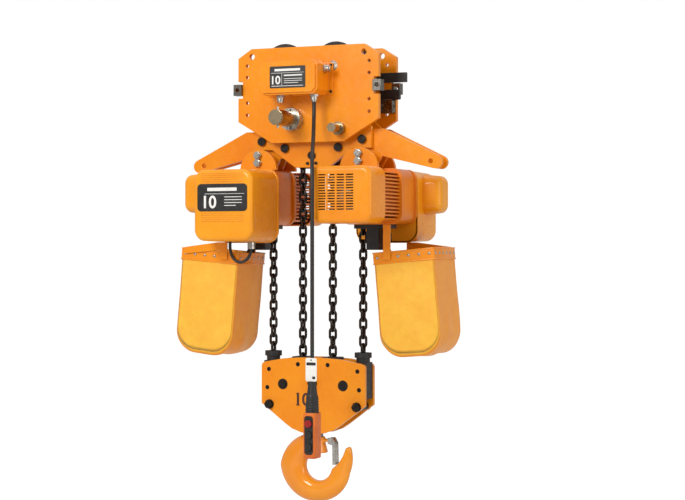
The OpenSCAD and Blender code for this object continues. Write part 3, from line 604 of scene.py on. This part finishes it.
# %% [markdown]
# ## The hook
# A forged swivel hook. Its section is a rounded wedge, thick on the inside of the bowl where the load
# lies and thinner outside, and it is fullest on the side opposite the mouth. The body is one sweep
# about the bowl's centre. The neck, the latch's lug and the small nub by the tip are merged into it
# the way a forging's shoulders run together: all four are remeshed as one skin and smoothed. The
# sizes of this cell are in millimetres.

# %% Hook
BOWL_X, BOWL_Z, BOWL_R = 6.0, -1505.0, 57.0
LUG_Z, NUB_LEAN = -1402, math.radians(28)


def hook_body(stations=90, around=40):
    """Section at angle a: middle radius (outer + inner) / 2, half depth (outer - inner) / 2 and half
    thickness t. The wedge comes from t growing by a fifth towards the bowl."""
    a = np.linspace(100, 390, stations)
    outer = np.interp(a, [100, 180, 270, 350, 390], [130, 170, 141, 136, 160])
    inner = np.where(a < 130, BOWL_R + 45 * ((130 - a) / 30).clip(0) ** 2,
                     BOWL_R + 75 * ((a - 350) / 40).clip(0) ** 1.4)
    thick = np.interp(a, [100, 130, 300, 390], [33, 34, 34, 17])
    q = 2 * np.pi * np.arange(around) / around
    deep = ((outer - inner) / 2)[:, None] * np.sign(np.cos(q)) * np.abs(np.cos(q)) ** 0.9
    wide = thick[:, None] * np.sin(q) * (1 - 0.16 * np.cos(q))
    ring = ((outer + inner) / 2)[:, None] + deep
    rad = np.radians(a)[:, None]
    P = np.stack([BOWL_X + ring * np.cos(rad), wide, BOWL_Z + ring * np.sin(rad)], -1)
    tip = P[-1].mean(0) + 0.55 * (P[-1] - P[-1].mean(0)) + 6 * np.array([-0.5, 0, 0.87])
    return np.concatenate([P, tip[None]])


neck = lathe([(41, -1452), (38, -1438), (33, -1420), (30, -1402), (30, -1388)], (0, 0, 0), "z", 48)
lug = rounded_loft(52, 26, 10, 20, 70, 7, steps=5)[..., [1, 0, 2]] * [1, 0.5, 1]
lug = lug * [1, 1, 0.45] + np.array([0, 0, LUG_Z])
nub = lathe([(9, 0), (9, 12), (6, 17), (1, 18)], (0, 0, 0), "z", 20)
nub = nub @ np.array([[math.cos(NUB_LEAN), 0, -math.sin(NUB_LEAN)], [0, 1, 0],
                      [math.sin(NUB_LEAN), 0, math.cos(NUB_LEAN)]])
nub = nub + np.array([128, 0, -1448])
forging = put_in_scene("hook_forging", *join_parts(
    [tube_of_rings(MM * g) for g in (hook_body(), neck, lug, nub)]))
merge = forging.modifiers.new("one skin", "REMESH")
merge.mode = "VOXEL"
merge.voxel_size = 2.6 * MM
soften = forging.modifiers.new("forged shoulders", "SMOOTH")
soften.iterations = 9
soften.factor = 0.6
finish_modifiers(forging)
forging.data.polygons.foreach_set("use_smooth", [True] * len(forging.data.polygons))
cut(forging, *tube_of_rings(MM * lathe([(4, -24), (4, 24)], (60, 0, LUG_Z), "y", 24)))
shank = crease(put_in_scene("hook_shank", *join_parts([
    tube_of_rings(MM * lathe([(21.9, -1392), (21.9, -1262)], (0, 0, 0), "z", 40)),
    tube_of_rings(MM * lathe([(34, -1298.6), (36, -1296.6), (36, -1286.6), (34, -1284.6)],
                             (0, 0, 0), "z", 40)),
    tube_of_rings(MM * lathe([(31, -1284.5), (34, -1282), (34, -1262), (31, -1259)],
                             (0, 0, 0), "z", 6))])))
for piece, slot in ((forging, "orange_paint"), (shank, "steel")):
    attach(piece, "hook")
    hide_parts("hook")
print("hook faces:", len(forging.data.polygons))

# %% [markdown]
# ## Pendant
# The push-button pendant: a ribbed rubber boot grips the cable above a moulded case with a long dark
# window for its three buttons. A white tag with a dark head is tied to the cable above the sleeve.

# %% Pendant
PX, PY, CASE_Z, CASE_H = 0.148, -0.372, -1.429, 0.172
CASE_FRONT, WINDOW_Z = PY - 0.032, CASE_Z + 0.088
BUTTON_ROWS, BUTTON_R = (0.132, 0.088, 0.044), 14 * MM
case_ring = rounded_loft(0.052, 0.064, 0.012, CASE_Z, CASE_Z + CASE_H, 6 * MM, 6 * MM)
case_ring = case_ring[..., [0, 2, 1]]
case = put_in_scene("pendant_case_moulding", *tube_of_rings(case_ring + np.array([PX, PY, 0])))
window = rounded_loft(0.036, 0.146, 0.012, 0, 0.010, 1 * MM) * [1, -1, 1]
cut(case, *tube_of_rings(window + np.array([PX, CASE_FRONT + 3 * MM, WINDOW_Z])))
face_place = np.array([PX, CASE_FRONT + 1.2 * MM, WINDOW_Z])
face = crease(put_in_scene("pendant_face", *tube_of_rings(
    rounded_loft(0.0355, 0.1455, 0.0118, 4 * MM, 0, 0.6 * MM) + face_place)))
for z in BUTTON_ROWS:
    for part, deep in ((face, 0.02), (case, 0.022)):
        cut(part, *tube_of_rings(
            lathe([(BUTTON_R, -0.02), (BUTTON_R, deep)], (PX, CASE_FRONT, CASE_Z + z), "y", 40)))
for piece, slot in ((case, "orange_plastic"), (face, "black_plastic")):
    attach(piece, "trolley")
    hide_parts("pendant_case")


def boot_profile():
    """Radius 25.5 mm at the case, narrowing to 14.2 mm at the top, with ribs on the lower part."""
    low, top, rib_step = CASE_Z + CASE_H, -1.142, 10.2 * MM
    z = np.linspace(low, top, 150)
    r = np.interp(z, [low, -1.196, -1.190, top], [0.0255, 0.0230, 0.0200, 0.0142])
    rib = 1.4 * MM * np.clip(np.cos(2 * np.pi * (z - low) / rib_step), -0.3, 0.8) * (z < -1.199)
    return np.stack([r + rib, z], -1)


boot = put_in_scene("pendant_boot_rubber", *tube_of_rings(lathe(boot_profile(), (PX, PY, 0), "z", 48)))
tag_ring = rounded_loft(0.046, 0.088, 0.007, 2 * MM, 0, 0.5 * MM)
tag_place = np.array([PX, PY - CABLE_D / 2 - 2.6 * MM, -1.096])
tag = crease(put_in_scene("pendant_tag", *tube_of_rings(tag_ring + tag_place)))
cut(tag, *tube_of_rings(
    lathe([(3.2 * MM, -0.02), (3.2 * MM, 0.02)], tag_place + [0, 0, 0.036], "y", 24)))
tag_head = crease(put_in_scene("pendant_tag_head", *join_parts([
    tube_of_rings(rounded_loft(0.038, 0.011, 0.002, 1 * MM, 0, 0.3 * MM) + tag_place
                  + np.array([0, -0.9 * MM, 0.022])),
    tube_of_rings(rounded_loft(0.012, 0.010, 0.002, 1 * MM, 0, 0.3 * MM) + tag_place
                  + np.array([0.011, -0.9 * MM, -0.030]))])))
for piece, slot in ((boot, "black_rubber"), (tag, "bag_fabric"), (tag_head, "black_plastic")):
    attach(piece, "trolley")
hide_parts("pendant_boot")
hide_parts("pendant_boot")
print("pendant made")

# %% [markdown]
# ## Markings
# The rated load, 10 tonnes, is the only lettering. The plates carry it in white, next to plain bars
# where a maker would put its own text. On the block it is a dark brown number, painted shade that
# stands for the shade inside its engraved grooves.


# %% Markings
def numeral(text, height, centre, y, facing, depth=0.5 * MM):
    """Points and faces of a number standing in X and Z. facing is -1 to read from the front."""
    curve = bpy.data.curves.new("numeral", "FONT")
    curve.body = text
    curve.size = height / 0.72
    curve.extrude = depth / 2
    curve.offset = 0.022 * curve.size
    curve.align_x, curve.align_y = "CENTER", "CENTER"
    holder = bpy.data.objects.new("numeral", curve)
    bpy.context.scene.collection.objects.link(holder)
    bpy.context.view_layer.update()
    shape = bpy.data.meshes.new_from_object(holder.evaluated_get(bpy.context.evaluated_depsgraph_get()))
    flat = np.empty(len(shape.vertices) * 3)
    shape.vertices.foreach_get("co", flat)
    p = flat.reshape(-1, 3)
    mid = (p.min(0) + p.max(0)) / 2
    p = p - mid
    placed = np.stack([-facing * p[:, 0], facing * p[:, 2], p[:, 1]], -1)
    faces = [list(f.vertices) for f in shape.polygons]
    bpy.data.objects.remove(holder)
    return placed + np.array([centre[0], y, centre[1]]), faces


def flat_bars(centre, y, facing, bars):
    """Flat bars given as (x, z, width, height) from the plate's middle, x to the reader's right."""
    return [box_at((centre[0] - facing * x - sx / 2, y - 0.25 * MM, centre[1] + z - sz / 2),
                   (centre[0] - facing * x + sx / 2, y + 0.25 * MM, centre[1] + z + sz / 2))
            for x, z, sx, sz in bars]


PLATE_Y, PLATE_Z = HOIST_END + 2 * MM, -0.443
BOX_FACE, BLOCK_FACE = -0.2266, -0.0502
LOAD_X, LOAD_Z = -0.064, -1.238
cover_bars = [(0, 0.0315, 0.128, 0.013), (0.010, 0.0145, 0.172, 0.0016)]
cover_bars += [(0.048, z, 0.076, 0.0028) for z in (0.002, -0.009, -0.020)]
cover_bars += [(0.035, -0.031, 0.050, 0.0028)]
white_parts = []
for facing, x in ((-1, -HOIST_X), (1, HOIST_X)):
    y = facing * (PLATE_Y + 0.2 * MM)
    white_parts += flat_bars((x, PLATE_Z), y, facing, cover_bars)
    white_parts.append(numeral("10", 0.048, (x + facing * 0.052, PLATE_Z - 0.017), y, facing))
box_bars = [(0, 0.0275, 0.110, 0.009), (0, 0.016, 0.142, 0.0014), (-0.024, -0.010, 0.0014, 0.050),
            (0.024, 0.006, 0.078, 0.0055), (0.024, -0.007, 0.078, 0.0022),
            (0.024, -0.015, 0.078, 0.0022), (0.016, -0.023, 0.062, 0.0022),
            (0, -0.0345, 0.136, 0.0022)]
white_parts += flat_bars((-0.026, 0.025), BOX_FACE, -1, box_bars)
white_parts.append(numeral("10", 0.032, (-0.074, 0.014), BOX_FACE, -1))
white_marks = put_in_scene("plate_marks", *join_parts(white_parts), smooth=False)
serifs = flat_bars((LOAD_X, LOAD_Z), BLOCK_FACE, -1,
                   [(0, -0.0242, 0.018, 0.0026), (-0.0062, 0.0205, 0.006, 0.003)])
load_mark = put_in_scene("load_mark", *join_parts(
    serifs + [numeral("1", 0.050, (LOAD_X, LOAD_Z), BLOCK_FACE, -1),
              numeral("0", 0.050, (LOAD_X + 0.035, LOAD_Z), BLOCK_FACE, -1)]), smooth=False)
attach(white_marks, "trolley")
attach(load_mark, "hook_block")
print("markings made")

# %% [markdown]
# ## Finishes
# Every finish is procedural and sized in millimetres in Object coordinates. Colours are written as the
# sRGB values that the eye would name, and one function turns them into linear light.


# %% Material helpers
def linear(code):
    """sRGB hex to linear RGBA: v / 12.92 below 0.04045, and ((v + 0.055) / 1.055) ** 2.4 above."""
    v = np.array([int(code[i:i + 2], 16) for i in (1, 3, 5)]) / 255
    return tuple(np.where(v <= 0.04045, v / 12.92, ((v + 0.055) / 1.055) ** 2.4)) + (1.0,)


def add(tree, kind, inputs=None, **settings):
    """One shader node: settings are its own properties, inputs are values or sockets to link."""
    item = tree.nodes.new(kind)
    for key, value in settings.items():
        setattr(item, key, value)
    for key, value in (inputs or {}).items():
        if isinstance(value, bpy.types.NodeSocket):
            tree.links.new(value, item.inputs[key])
        else:
            item.inputs[key].default_value = value
    return item


def per(mm):
    """Noise scale whose features are about mm across, for coordinates in metres."""
    return 1000 / mm


def start(name):
    """An empty material with one shader, and the Object coordinates that its patterns use."""
    mat = bpy.data.materials.new(name)
    mat.use_nodes = True
    tree = mat.node_tree
    tree.nodes.clear()
    out = add(tree, "ShaderNodeOutputMaterial")
    bsdf = add(tree, "ShaderNodeBsdfPrincipled")
    tree.links.new(bsdf.outputs["BSDF"], out.inputs["Surface"])
    where = add(tree, "ShaderNodeTexCoord").outputs["Object"]
    return mat, tree, bsdf, where


def noise(tree, where, mm, detail=3.0, low=0.35, high=0.65):
    """Noise stretched to fill 0 to 1."""
    raw = add(tree, "ShaderNodeTexNoise", {"Vector": where, "Scale": per(mm), "Detail": detail})
    return add(tree, "ShaderNodeMapRange", {"Value": raw.outputs["Fac"], "From Min": low,
                                            "From Max": high}).outputs["Result"]


def mix(tree, amount, one, two):
    """Colour between one and two: a hex code or a socket each."""
    ends = [linear(c) if isinstance(c, str) else c for c in (one, two)]
    return add(tree, "ShaderNodeMix", {0: amount, 6: ends[0], 7: ends[1]}, data_type="RGBA").outputs[2]


def times(tree, value, factor):
    """value * factor, each a number or a socket."""
    return add(tree, "ShaderNodeMath", {0: value, 1: factor}, operation="MULTIPLY").outputs[0]


def edges(tree, mm):
    """How far the rounded normal leans off the true one: 1 on an arris, 0 on a flat."""
    soft = add(tree, "ShaderNodeBevel", {"Radius": mm * MM}, samples=6).outputs["Normal"]
    true = add(tree, "ShaderNodeNewGeometry").outputs["True Normal"]
    dot = add(tree, "ShaderNodeVectorMath", {0: soft, 1: true}, operation="DOT_PRODUCT")
    rim = add(tree, "ShaderNodeMapRange", {"Value": dot.outputs["Value"], "From Min": 0.995,
                                           "From Max": 0.85})
    return soft, rim.outputs["Result"]


def bump(tree, height, mm, normal=None, strength=0.6):
    """The normal over a relief of height 0 to 1, mm deep, on top of another normal if one is given."""
    links = {"Height": height, "Distance": mm * MM, "Strength": strength}
    if normal is not None:
        links["Normal"] = normal
    return add(tree, "ShaderNodeBump", links).outputs["Normal"]


def set_roughness(tree, bsdf, value, rough):
    """Roughness from rough[0] to rough[1] as the value goes from 0 to 1."""
    gloss = add(tree, "ShaderNodeMapRange", {"Value": value, "To Min": rough[0],
                                             "To Max": rough[1]}).outputs["Result"]
    tree.links.new(gloss, bsdf.inputs["Roughness"])


print("material helpers ready")

# %% [markdown]
# ## Paint, plastic, rubber, metal and cloth
# The enamel is a thick gloss coat: it pulls thin and pale over the arrises, is a little redder where
# it lies thick, and has a faint orange peel. Cast parts take the same paint over a coarser skin. The
# plated fasteners are bright with a blotchy grain, and the chain is oiled case-hardened steel.


# %% Finishes
def enamel(name, main, thick, worn, rough=(0.2, 0.3), peel=0.05, peel_mm=2.2, edge_mm=2.5, coat=0.15):
    """Gloss paint: main and thick tones in broad patches, worn on the arrises, peel in millimetres."""
    mat, tree, bsdf, where = start(name)
    soft, rim = edges(tree, edge_mm)
    tone = mix(tree, noise(tree, where, 170), main, thick)
    tone = mix(tree, times(tree, rim, 0.55), tone, worn)
    tree.links.new(tone, bsdf.inputs["Base Color"])
    set_roughness(tree, bsdf, noise(tree, where, 26), rough)
    tree.links.new(bump(tree, noise(tree, where, peel_mm, 2), peel, soft), bsdf.inputs["Normal"])
    bsdf.inputs["Specular IOR Level"].default_value = 0.35
    bsdf.inputs["Coat Weight"].default_value = coat
    bsdf.inputs["Coat Roughness"].default_value = 0.08
    return mat


def metal(name, main, dull, rough=(0.25, 0.4), grain_mm=6, edge_mm=0.8, relief=0.02, metallic=1.0):
    """Bare or plated metal whose tone and roughness share one blotchy grain."""
    mat, tree, bsdf, where = start(name)
    soft, rim = edges(tree, edge_mm)
    blotch = noise(tree, where, grain_mm, 4)
    tone = mix(tree, blotch, main, dull)
    tone = mix(tree, times(tree, rim, 0.4), tone, main)
    tree.links.new(tone, bsdf.inputs["Base Color"])
    set_roughness(tree, bsdf, blotch, rough)
    tree.links.new(bump(tree, noise(tree, where, 0.8, 2), relief, soft), bsdf.inputs["Normal"])
    bsdf.inputs["Metallic"].default_value = metallic
    return mat


def moulded(name, main, dull, rough=(0.4, 0.55), grain_mm=0.7, relief=0.03, edge_mm=1.2):
    """Plastic or rubber with a fine moulded grain."""
    mat, tree, bsdf, where = start(name)
    soft, _ = edges(tree, edge_mm)
    tone = mix(tree, noise(tree, where, 60), main, dull)
    tree.links.new(tone, bsdf.inputs["Base Color"])
    set_roughness(tree, bsdf, noise(tree, where, 9), rough)
    tree.links.new(bump(tree, noise(tree, where, grain_mm, 2), relief, soft), bsdf.inputs["Normal"])
    return mat


def coated_canvas(name, main, deep):
    """Plain weave: two sine ridges crossing every 1.6 mm, under a vinyl coat with soft mottling."""
    mat, tree, bsdf, where = start(name)
    mottle = noise(tree, where, 34, 5, 0.3, 0.7)
    crease_tone = noise(tree, where, 90, 2, 0.3, 0.75)
    tone = mix(tree, times(tree, mottle, 0.45), main, deep)
    tone = mix(tree, times(tree, crease_tone, 0.35), tone, deep)
    tree.links.new(tone, bsdf.inputs["Base Color"])
    axes = add(tree, "ShaderNodeSeparateXYZ", {0: where}).outputs
    turns = 2 * math.pi / (1.6 * MM)
    slant = add(tree, "ShaderNodeMath", {0: axes["X"], 1: axes["Y"]}, operation="ADD").outputs[0]
    warp = add(tree, "ShaderNodeMath", {0: times(tree, slant, turns)}, operation="SINE").outputs[0]
    weft = add(tree, "ShaderNodeMath", {0: times(tree, axes["Z"], turns)}, operation="SINE").outputs[0]
    weave = times(tree, warp, weft)
    wavy = bump(tree, noise(tree, where, 22, 3), 1.1, None, 0.5)
    tree.links.new(bump(tree, weave, 0.10, wavy, 0.5), bsdf.inputs["Normal"])
    bsdf.inputs["Roughness"].default_value = 0.52
    bsdf.inputs["Sheen Weight"].default_value = 0.15
    return mat


FINISH_ROWS = [
    (enamel, "gloss orange enamel", "#F4960F", "#EF8A0A", "#FBB04A"),
    (enamel, "cast housing enamel", "#EC840E", "#DE7408", "#F79E34", (0.3, 0.42), 0.18, 4.5, 3),
    (enamel, "pressed cover enamel", "#F49614", "#ED8A0E", "#FAB250", (0.24, 0.34), 0.04, 2, 1.5),
    (enamel, "moulded cover", "#F6A21A", "#F09612", "#FBBC58", (0.26, 0.36), 0.03, 1.6, 1.2, 0.1),
    (enamel, "forging enamel", "#F69A16", "#F08E0E", "#FAB24C", (0.10, 0.18), 0.06, 5, 2.5, 0.6),
    (moulded, "pendant moulding", "#DE7018", "#CE6010", (0.3, 0.42)),
    (coated_canvas, "coated canvas", "#F8C034", "#F0A020"),
    # The gusset's copy is the same canvas made darker and redder: painted shade on the bag's sides and
    # bottom.
    (coated_canvas, "coated canvas, side", "#F6A42A", "#EA8818"),
    (moulded, "canvas piping", "#EC9A24", "#E08A1A", (0.45, 0.6)),
    (metal, "bright zinc plate", "#C6C3BC", "#A9A69E", (0.2, 0.34), 12),
    (metal, "dark zinc plate", "#8C8880", "#5E5A54", (0.2, 0.36), 10),
    (metal, "yellow zinc plate", "#B5A486", "#97866A", (0.18, 0.3), 26),
    (metal, "turned steel", "#9C9890", "#827E78", (0.2, 0.32), 20),
    (metal, "black oxide steel", "#3A3632", "#1E1B19", (0.3, 0.48), 7, 1.2, 0.04, 0.85),
    (metal, "oiled chain steel", "#4A423C", "#221D1A", (0.16, 0.34), 8, 1.0, 0.05, 0.9),
    (metal, "black cast wheel", "#3C3835", "#24211F", (0.32, 0.5), 14, 1.6, 0.08, 0.6),
    (moulded, "cable rubber", "#1C1B1A", "#262422", (0.42, 0.58), 1.4, 0.05, 0.8),
    (moulded, "black moulding", "#181716", "#242220", (0.32, 0.46)),
    (moulded, "red button", "#8E1212", "#A01A16", (0.2, 0.3), 1.0, 0.01),
    (moulded, "white print", "#F2F0EA", "#E6E3DC", (0.4, 0.5)),
    # The block's dark brown number is painted shade standing for the shade in its engraved grooves.
    (moulded, "filled engraving", "#3A1A08", "#4A2410", (0.4, 0.5)),
]
finish = {name: recipe(name, *values) for recipe, name, *values in FINISH_ROWS}


def coat(obj, name):
    """Gives every slot of an object one finish."""
    if not obj.data.materials:
        obj.data.materials.append(finish[name])
    for slot in obj.material_slots:
        slot.material = finish[name]


print("finishes:", len(finish))

# %% [markdown]
# ## Which piece has which finish
# First the pieces that keep their CAD mesh, then the ones made above.

# %% Finishes of the CAD pieces
SIDES = ("left", "right")
CAD_FINISH = {
    "gloss orange enamel": ["front_plate", "rear_plate", "control_box", "box_lid", "suspension_plates",
                            "hanger_arms", "hoist_ears", "bag_hangers", "block_front", "block_rear"],
    "cast housing enamel": ["gearcases", "motor_housings", "travel_gearbox", "travel_motor",
                            "crosshead"],
    "pressed cover enamel": ["fan_covers"],
    "moulded cover": ["control_covers"],
    "forging enamel": ["hook"],
    "pendant moulding": ["pendant_case"],
    "coated canvas": ["left_bag", "right_bag", "bag_rims"],
    "bright zinc plate": ["cable_glands", "shaft_washers", "ear_studs", "latch"],
    "dark zinc plate": ["guide_blocks"],
    "yellow zinc plate": ["load_shaft", "tie_shaft"],
    "turned steel": ["wheel_axles", "left_rotor", "right_rotor", "drive_pinion"],
    "black oxide steel": ["block_bolts", "box_screws", "suspension_pins", "chain_anchors"]
                         + [f"{side}_{kind}_sheave" for kind in ("load", "block") for side in SIDES],
    "oiled chain steel": ["dead_falls", "live_falls", "slack_chains"],
    "black cast wheel": [f"{end}_{side}_wheel" for end in ("front", "rear") for side in SIDES],
    "cable rubber": ["rubber_buffer", "pendant_cable", "control_lead", "pendant_boot", "chain_bumpers"],
    "black moulding": ["limit_switch", "contactors", "nameplates", "chain_guides", "up_button",
                       "down_button"],
    "red button": ["stop_button"],
}
for name, listed in CAD_FINISH.items():
    for node in listed:
        coat(nodes[node], name)
print("CAD pieces left without a finish:", sorted(set(nodes) - set(sum(CAD_FINISH.values(), []))))

# %% Finishes of the new pieces
NEW_FINISH = [
    ("cable rubber", [cable, lead, boot]),
    ("oiled chain steel", [dead_chain, live_chain, slack_chain]),
    ("pressed cover enamel", fan_cowls + [right_rim[0], left_rim[0]]),
    ("moulded cover", control_mouldings),
    ("coated canvas", [bag_cloth[0], bag_cloth[3]]),
    # The gusset takes the darker canvas copy, which is painted shade.
    ("coated canvas, side", [bag_cloth[1], bag_cloth[4]]),
    ("canvas piping", [bag_cloth[2], bag_cloth[5]]),
    ("bright zinc plate", [right_rim[1], left_rim[1]]),
    ("forging enamel", [forging]),
    ("turned steel", [shank]),
    ("pendant moulding", [case]),
    ("black moulding", [face, tag_head, switch]),
    ("dark zinc plate", [bracket]),
    ("white print", [tag, white_marks]),
    # The load number's dark brown is painted shade from engraved grooves.
    ("filled engraving", [load_mark]),
]
for name, pieces in NEW_FINISH:
    for piece in pieces:
        coat(piece, name)
print("new pieces:", sum(len(p) for _, p in NEW_FINISH))

# %% [markdown]
# ## Studio
# A pale paper sweep: a wide disc of floor whose rim curves up in a quarter circle all the way round,
# so no edge shows from any side. The paper glows a little, but only to the camera. A big soft light
# comes from the upper left of the camera, a weaker one from its right and one from above, in a
# near-white room.

# %% Studio
FLOOR_Z = -2.05
COVE_IN, COVE_OUT = 9.0, 14.0
COVE_R = COVE_OUT - COVE_IN
bend = np.linspace(0, np.pi / 2, 24)
floor_profile = np.concatenate([
    np.stack([np.linspace(0.02, COVE_IN, 14), np.full(14, FLOOR_Z)], -1),
    np.stack([COVE_IN + COVE_R * np.sin(bend), FLOOR_Z + COVE_R * (1 - np.cos(bend))], -1)[1:]])
sweep_paper = put_in_scene("studio_paper", *tube_of_rings(lathe(floor_profile, (0, 0, 0), "z", 96),
                                                          caps=(True, False)))
paper = bpy.data.materials.new("pale paper")
paper.use_nodes = True
paper_bsdf = paper.node_tree.nodes["Principled BSDF"]
paper_bsdf.inputs["Base Color"].default_value = linear("#E2E0DD")
paper_bsdf.inputs["Roughness"].default_value = 0.85
paper_bsdf.inputs["Emission Color"].default_value = linear("#FFFFFF")
seen = add(paper.node_tree, "ShaderNodeLightPath").outputs["Is Camera Ray"]
paper.node_tree.links.new(times(paper.node_tree, seen, 0.55), paper_bsdf.inputs["Emission Strength"])
sweep_paper.data.materials.append(paper)


def softbox(name, side, depth, height, size, watts):
    """A square light placed by its distance to the right of the camera's line, its distance out
    towards the camera, and its height, all from the hoist's middle."""
    data = bpy.data.lights.new(name, "AREA")
    data.shape = "SQUARE"
    data.size = size
    data.energy = watts
    light = bpy.data.objects.new(name, data)
    bpy.context.scene.collection.objects.link(light)
    aim(light, side * right_way + depth * towards_eye + np.array([0, 0, height]), (0, 0, VIEW_HEIGHT))


softbox("key", -2.8, 4.4, 1.8, 1.8, 158)
softbox("fill", 4.2, 3.2, 0.2, 2.6, 50)
softbox("top", 0.2, -0.6, 3.6, 3.0, 40)
world = bpy.data.worlds.new("studio room")
world.use_nodes = True
world.node_tree.nodes["Background"].inputs["Color"].default_value = linear("#F6F6F8")
world.node_tree.nodes["Background"].inputs["Strength"].default_value = 0.7
bpy.context.scene.world = world
bpy.context.scene.view_settings.view_transform = "Standard"
print("studio ready")
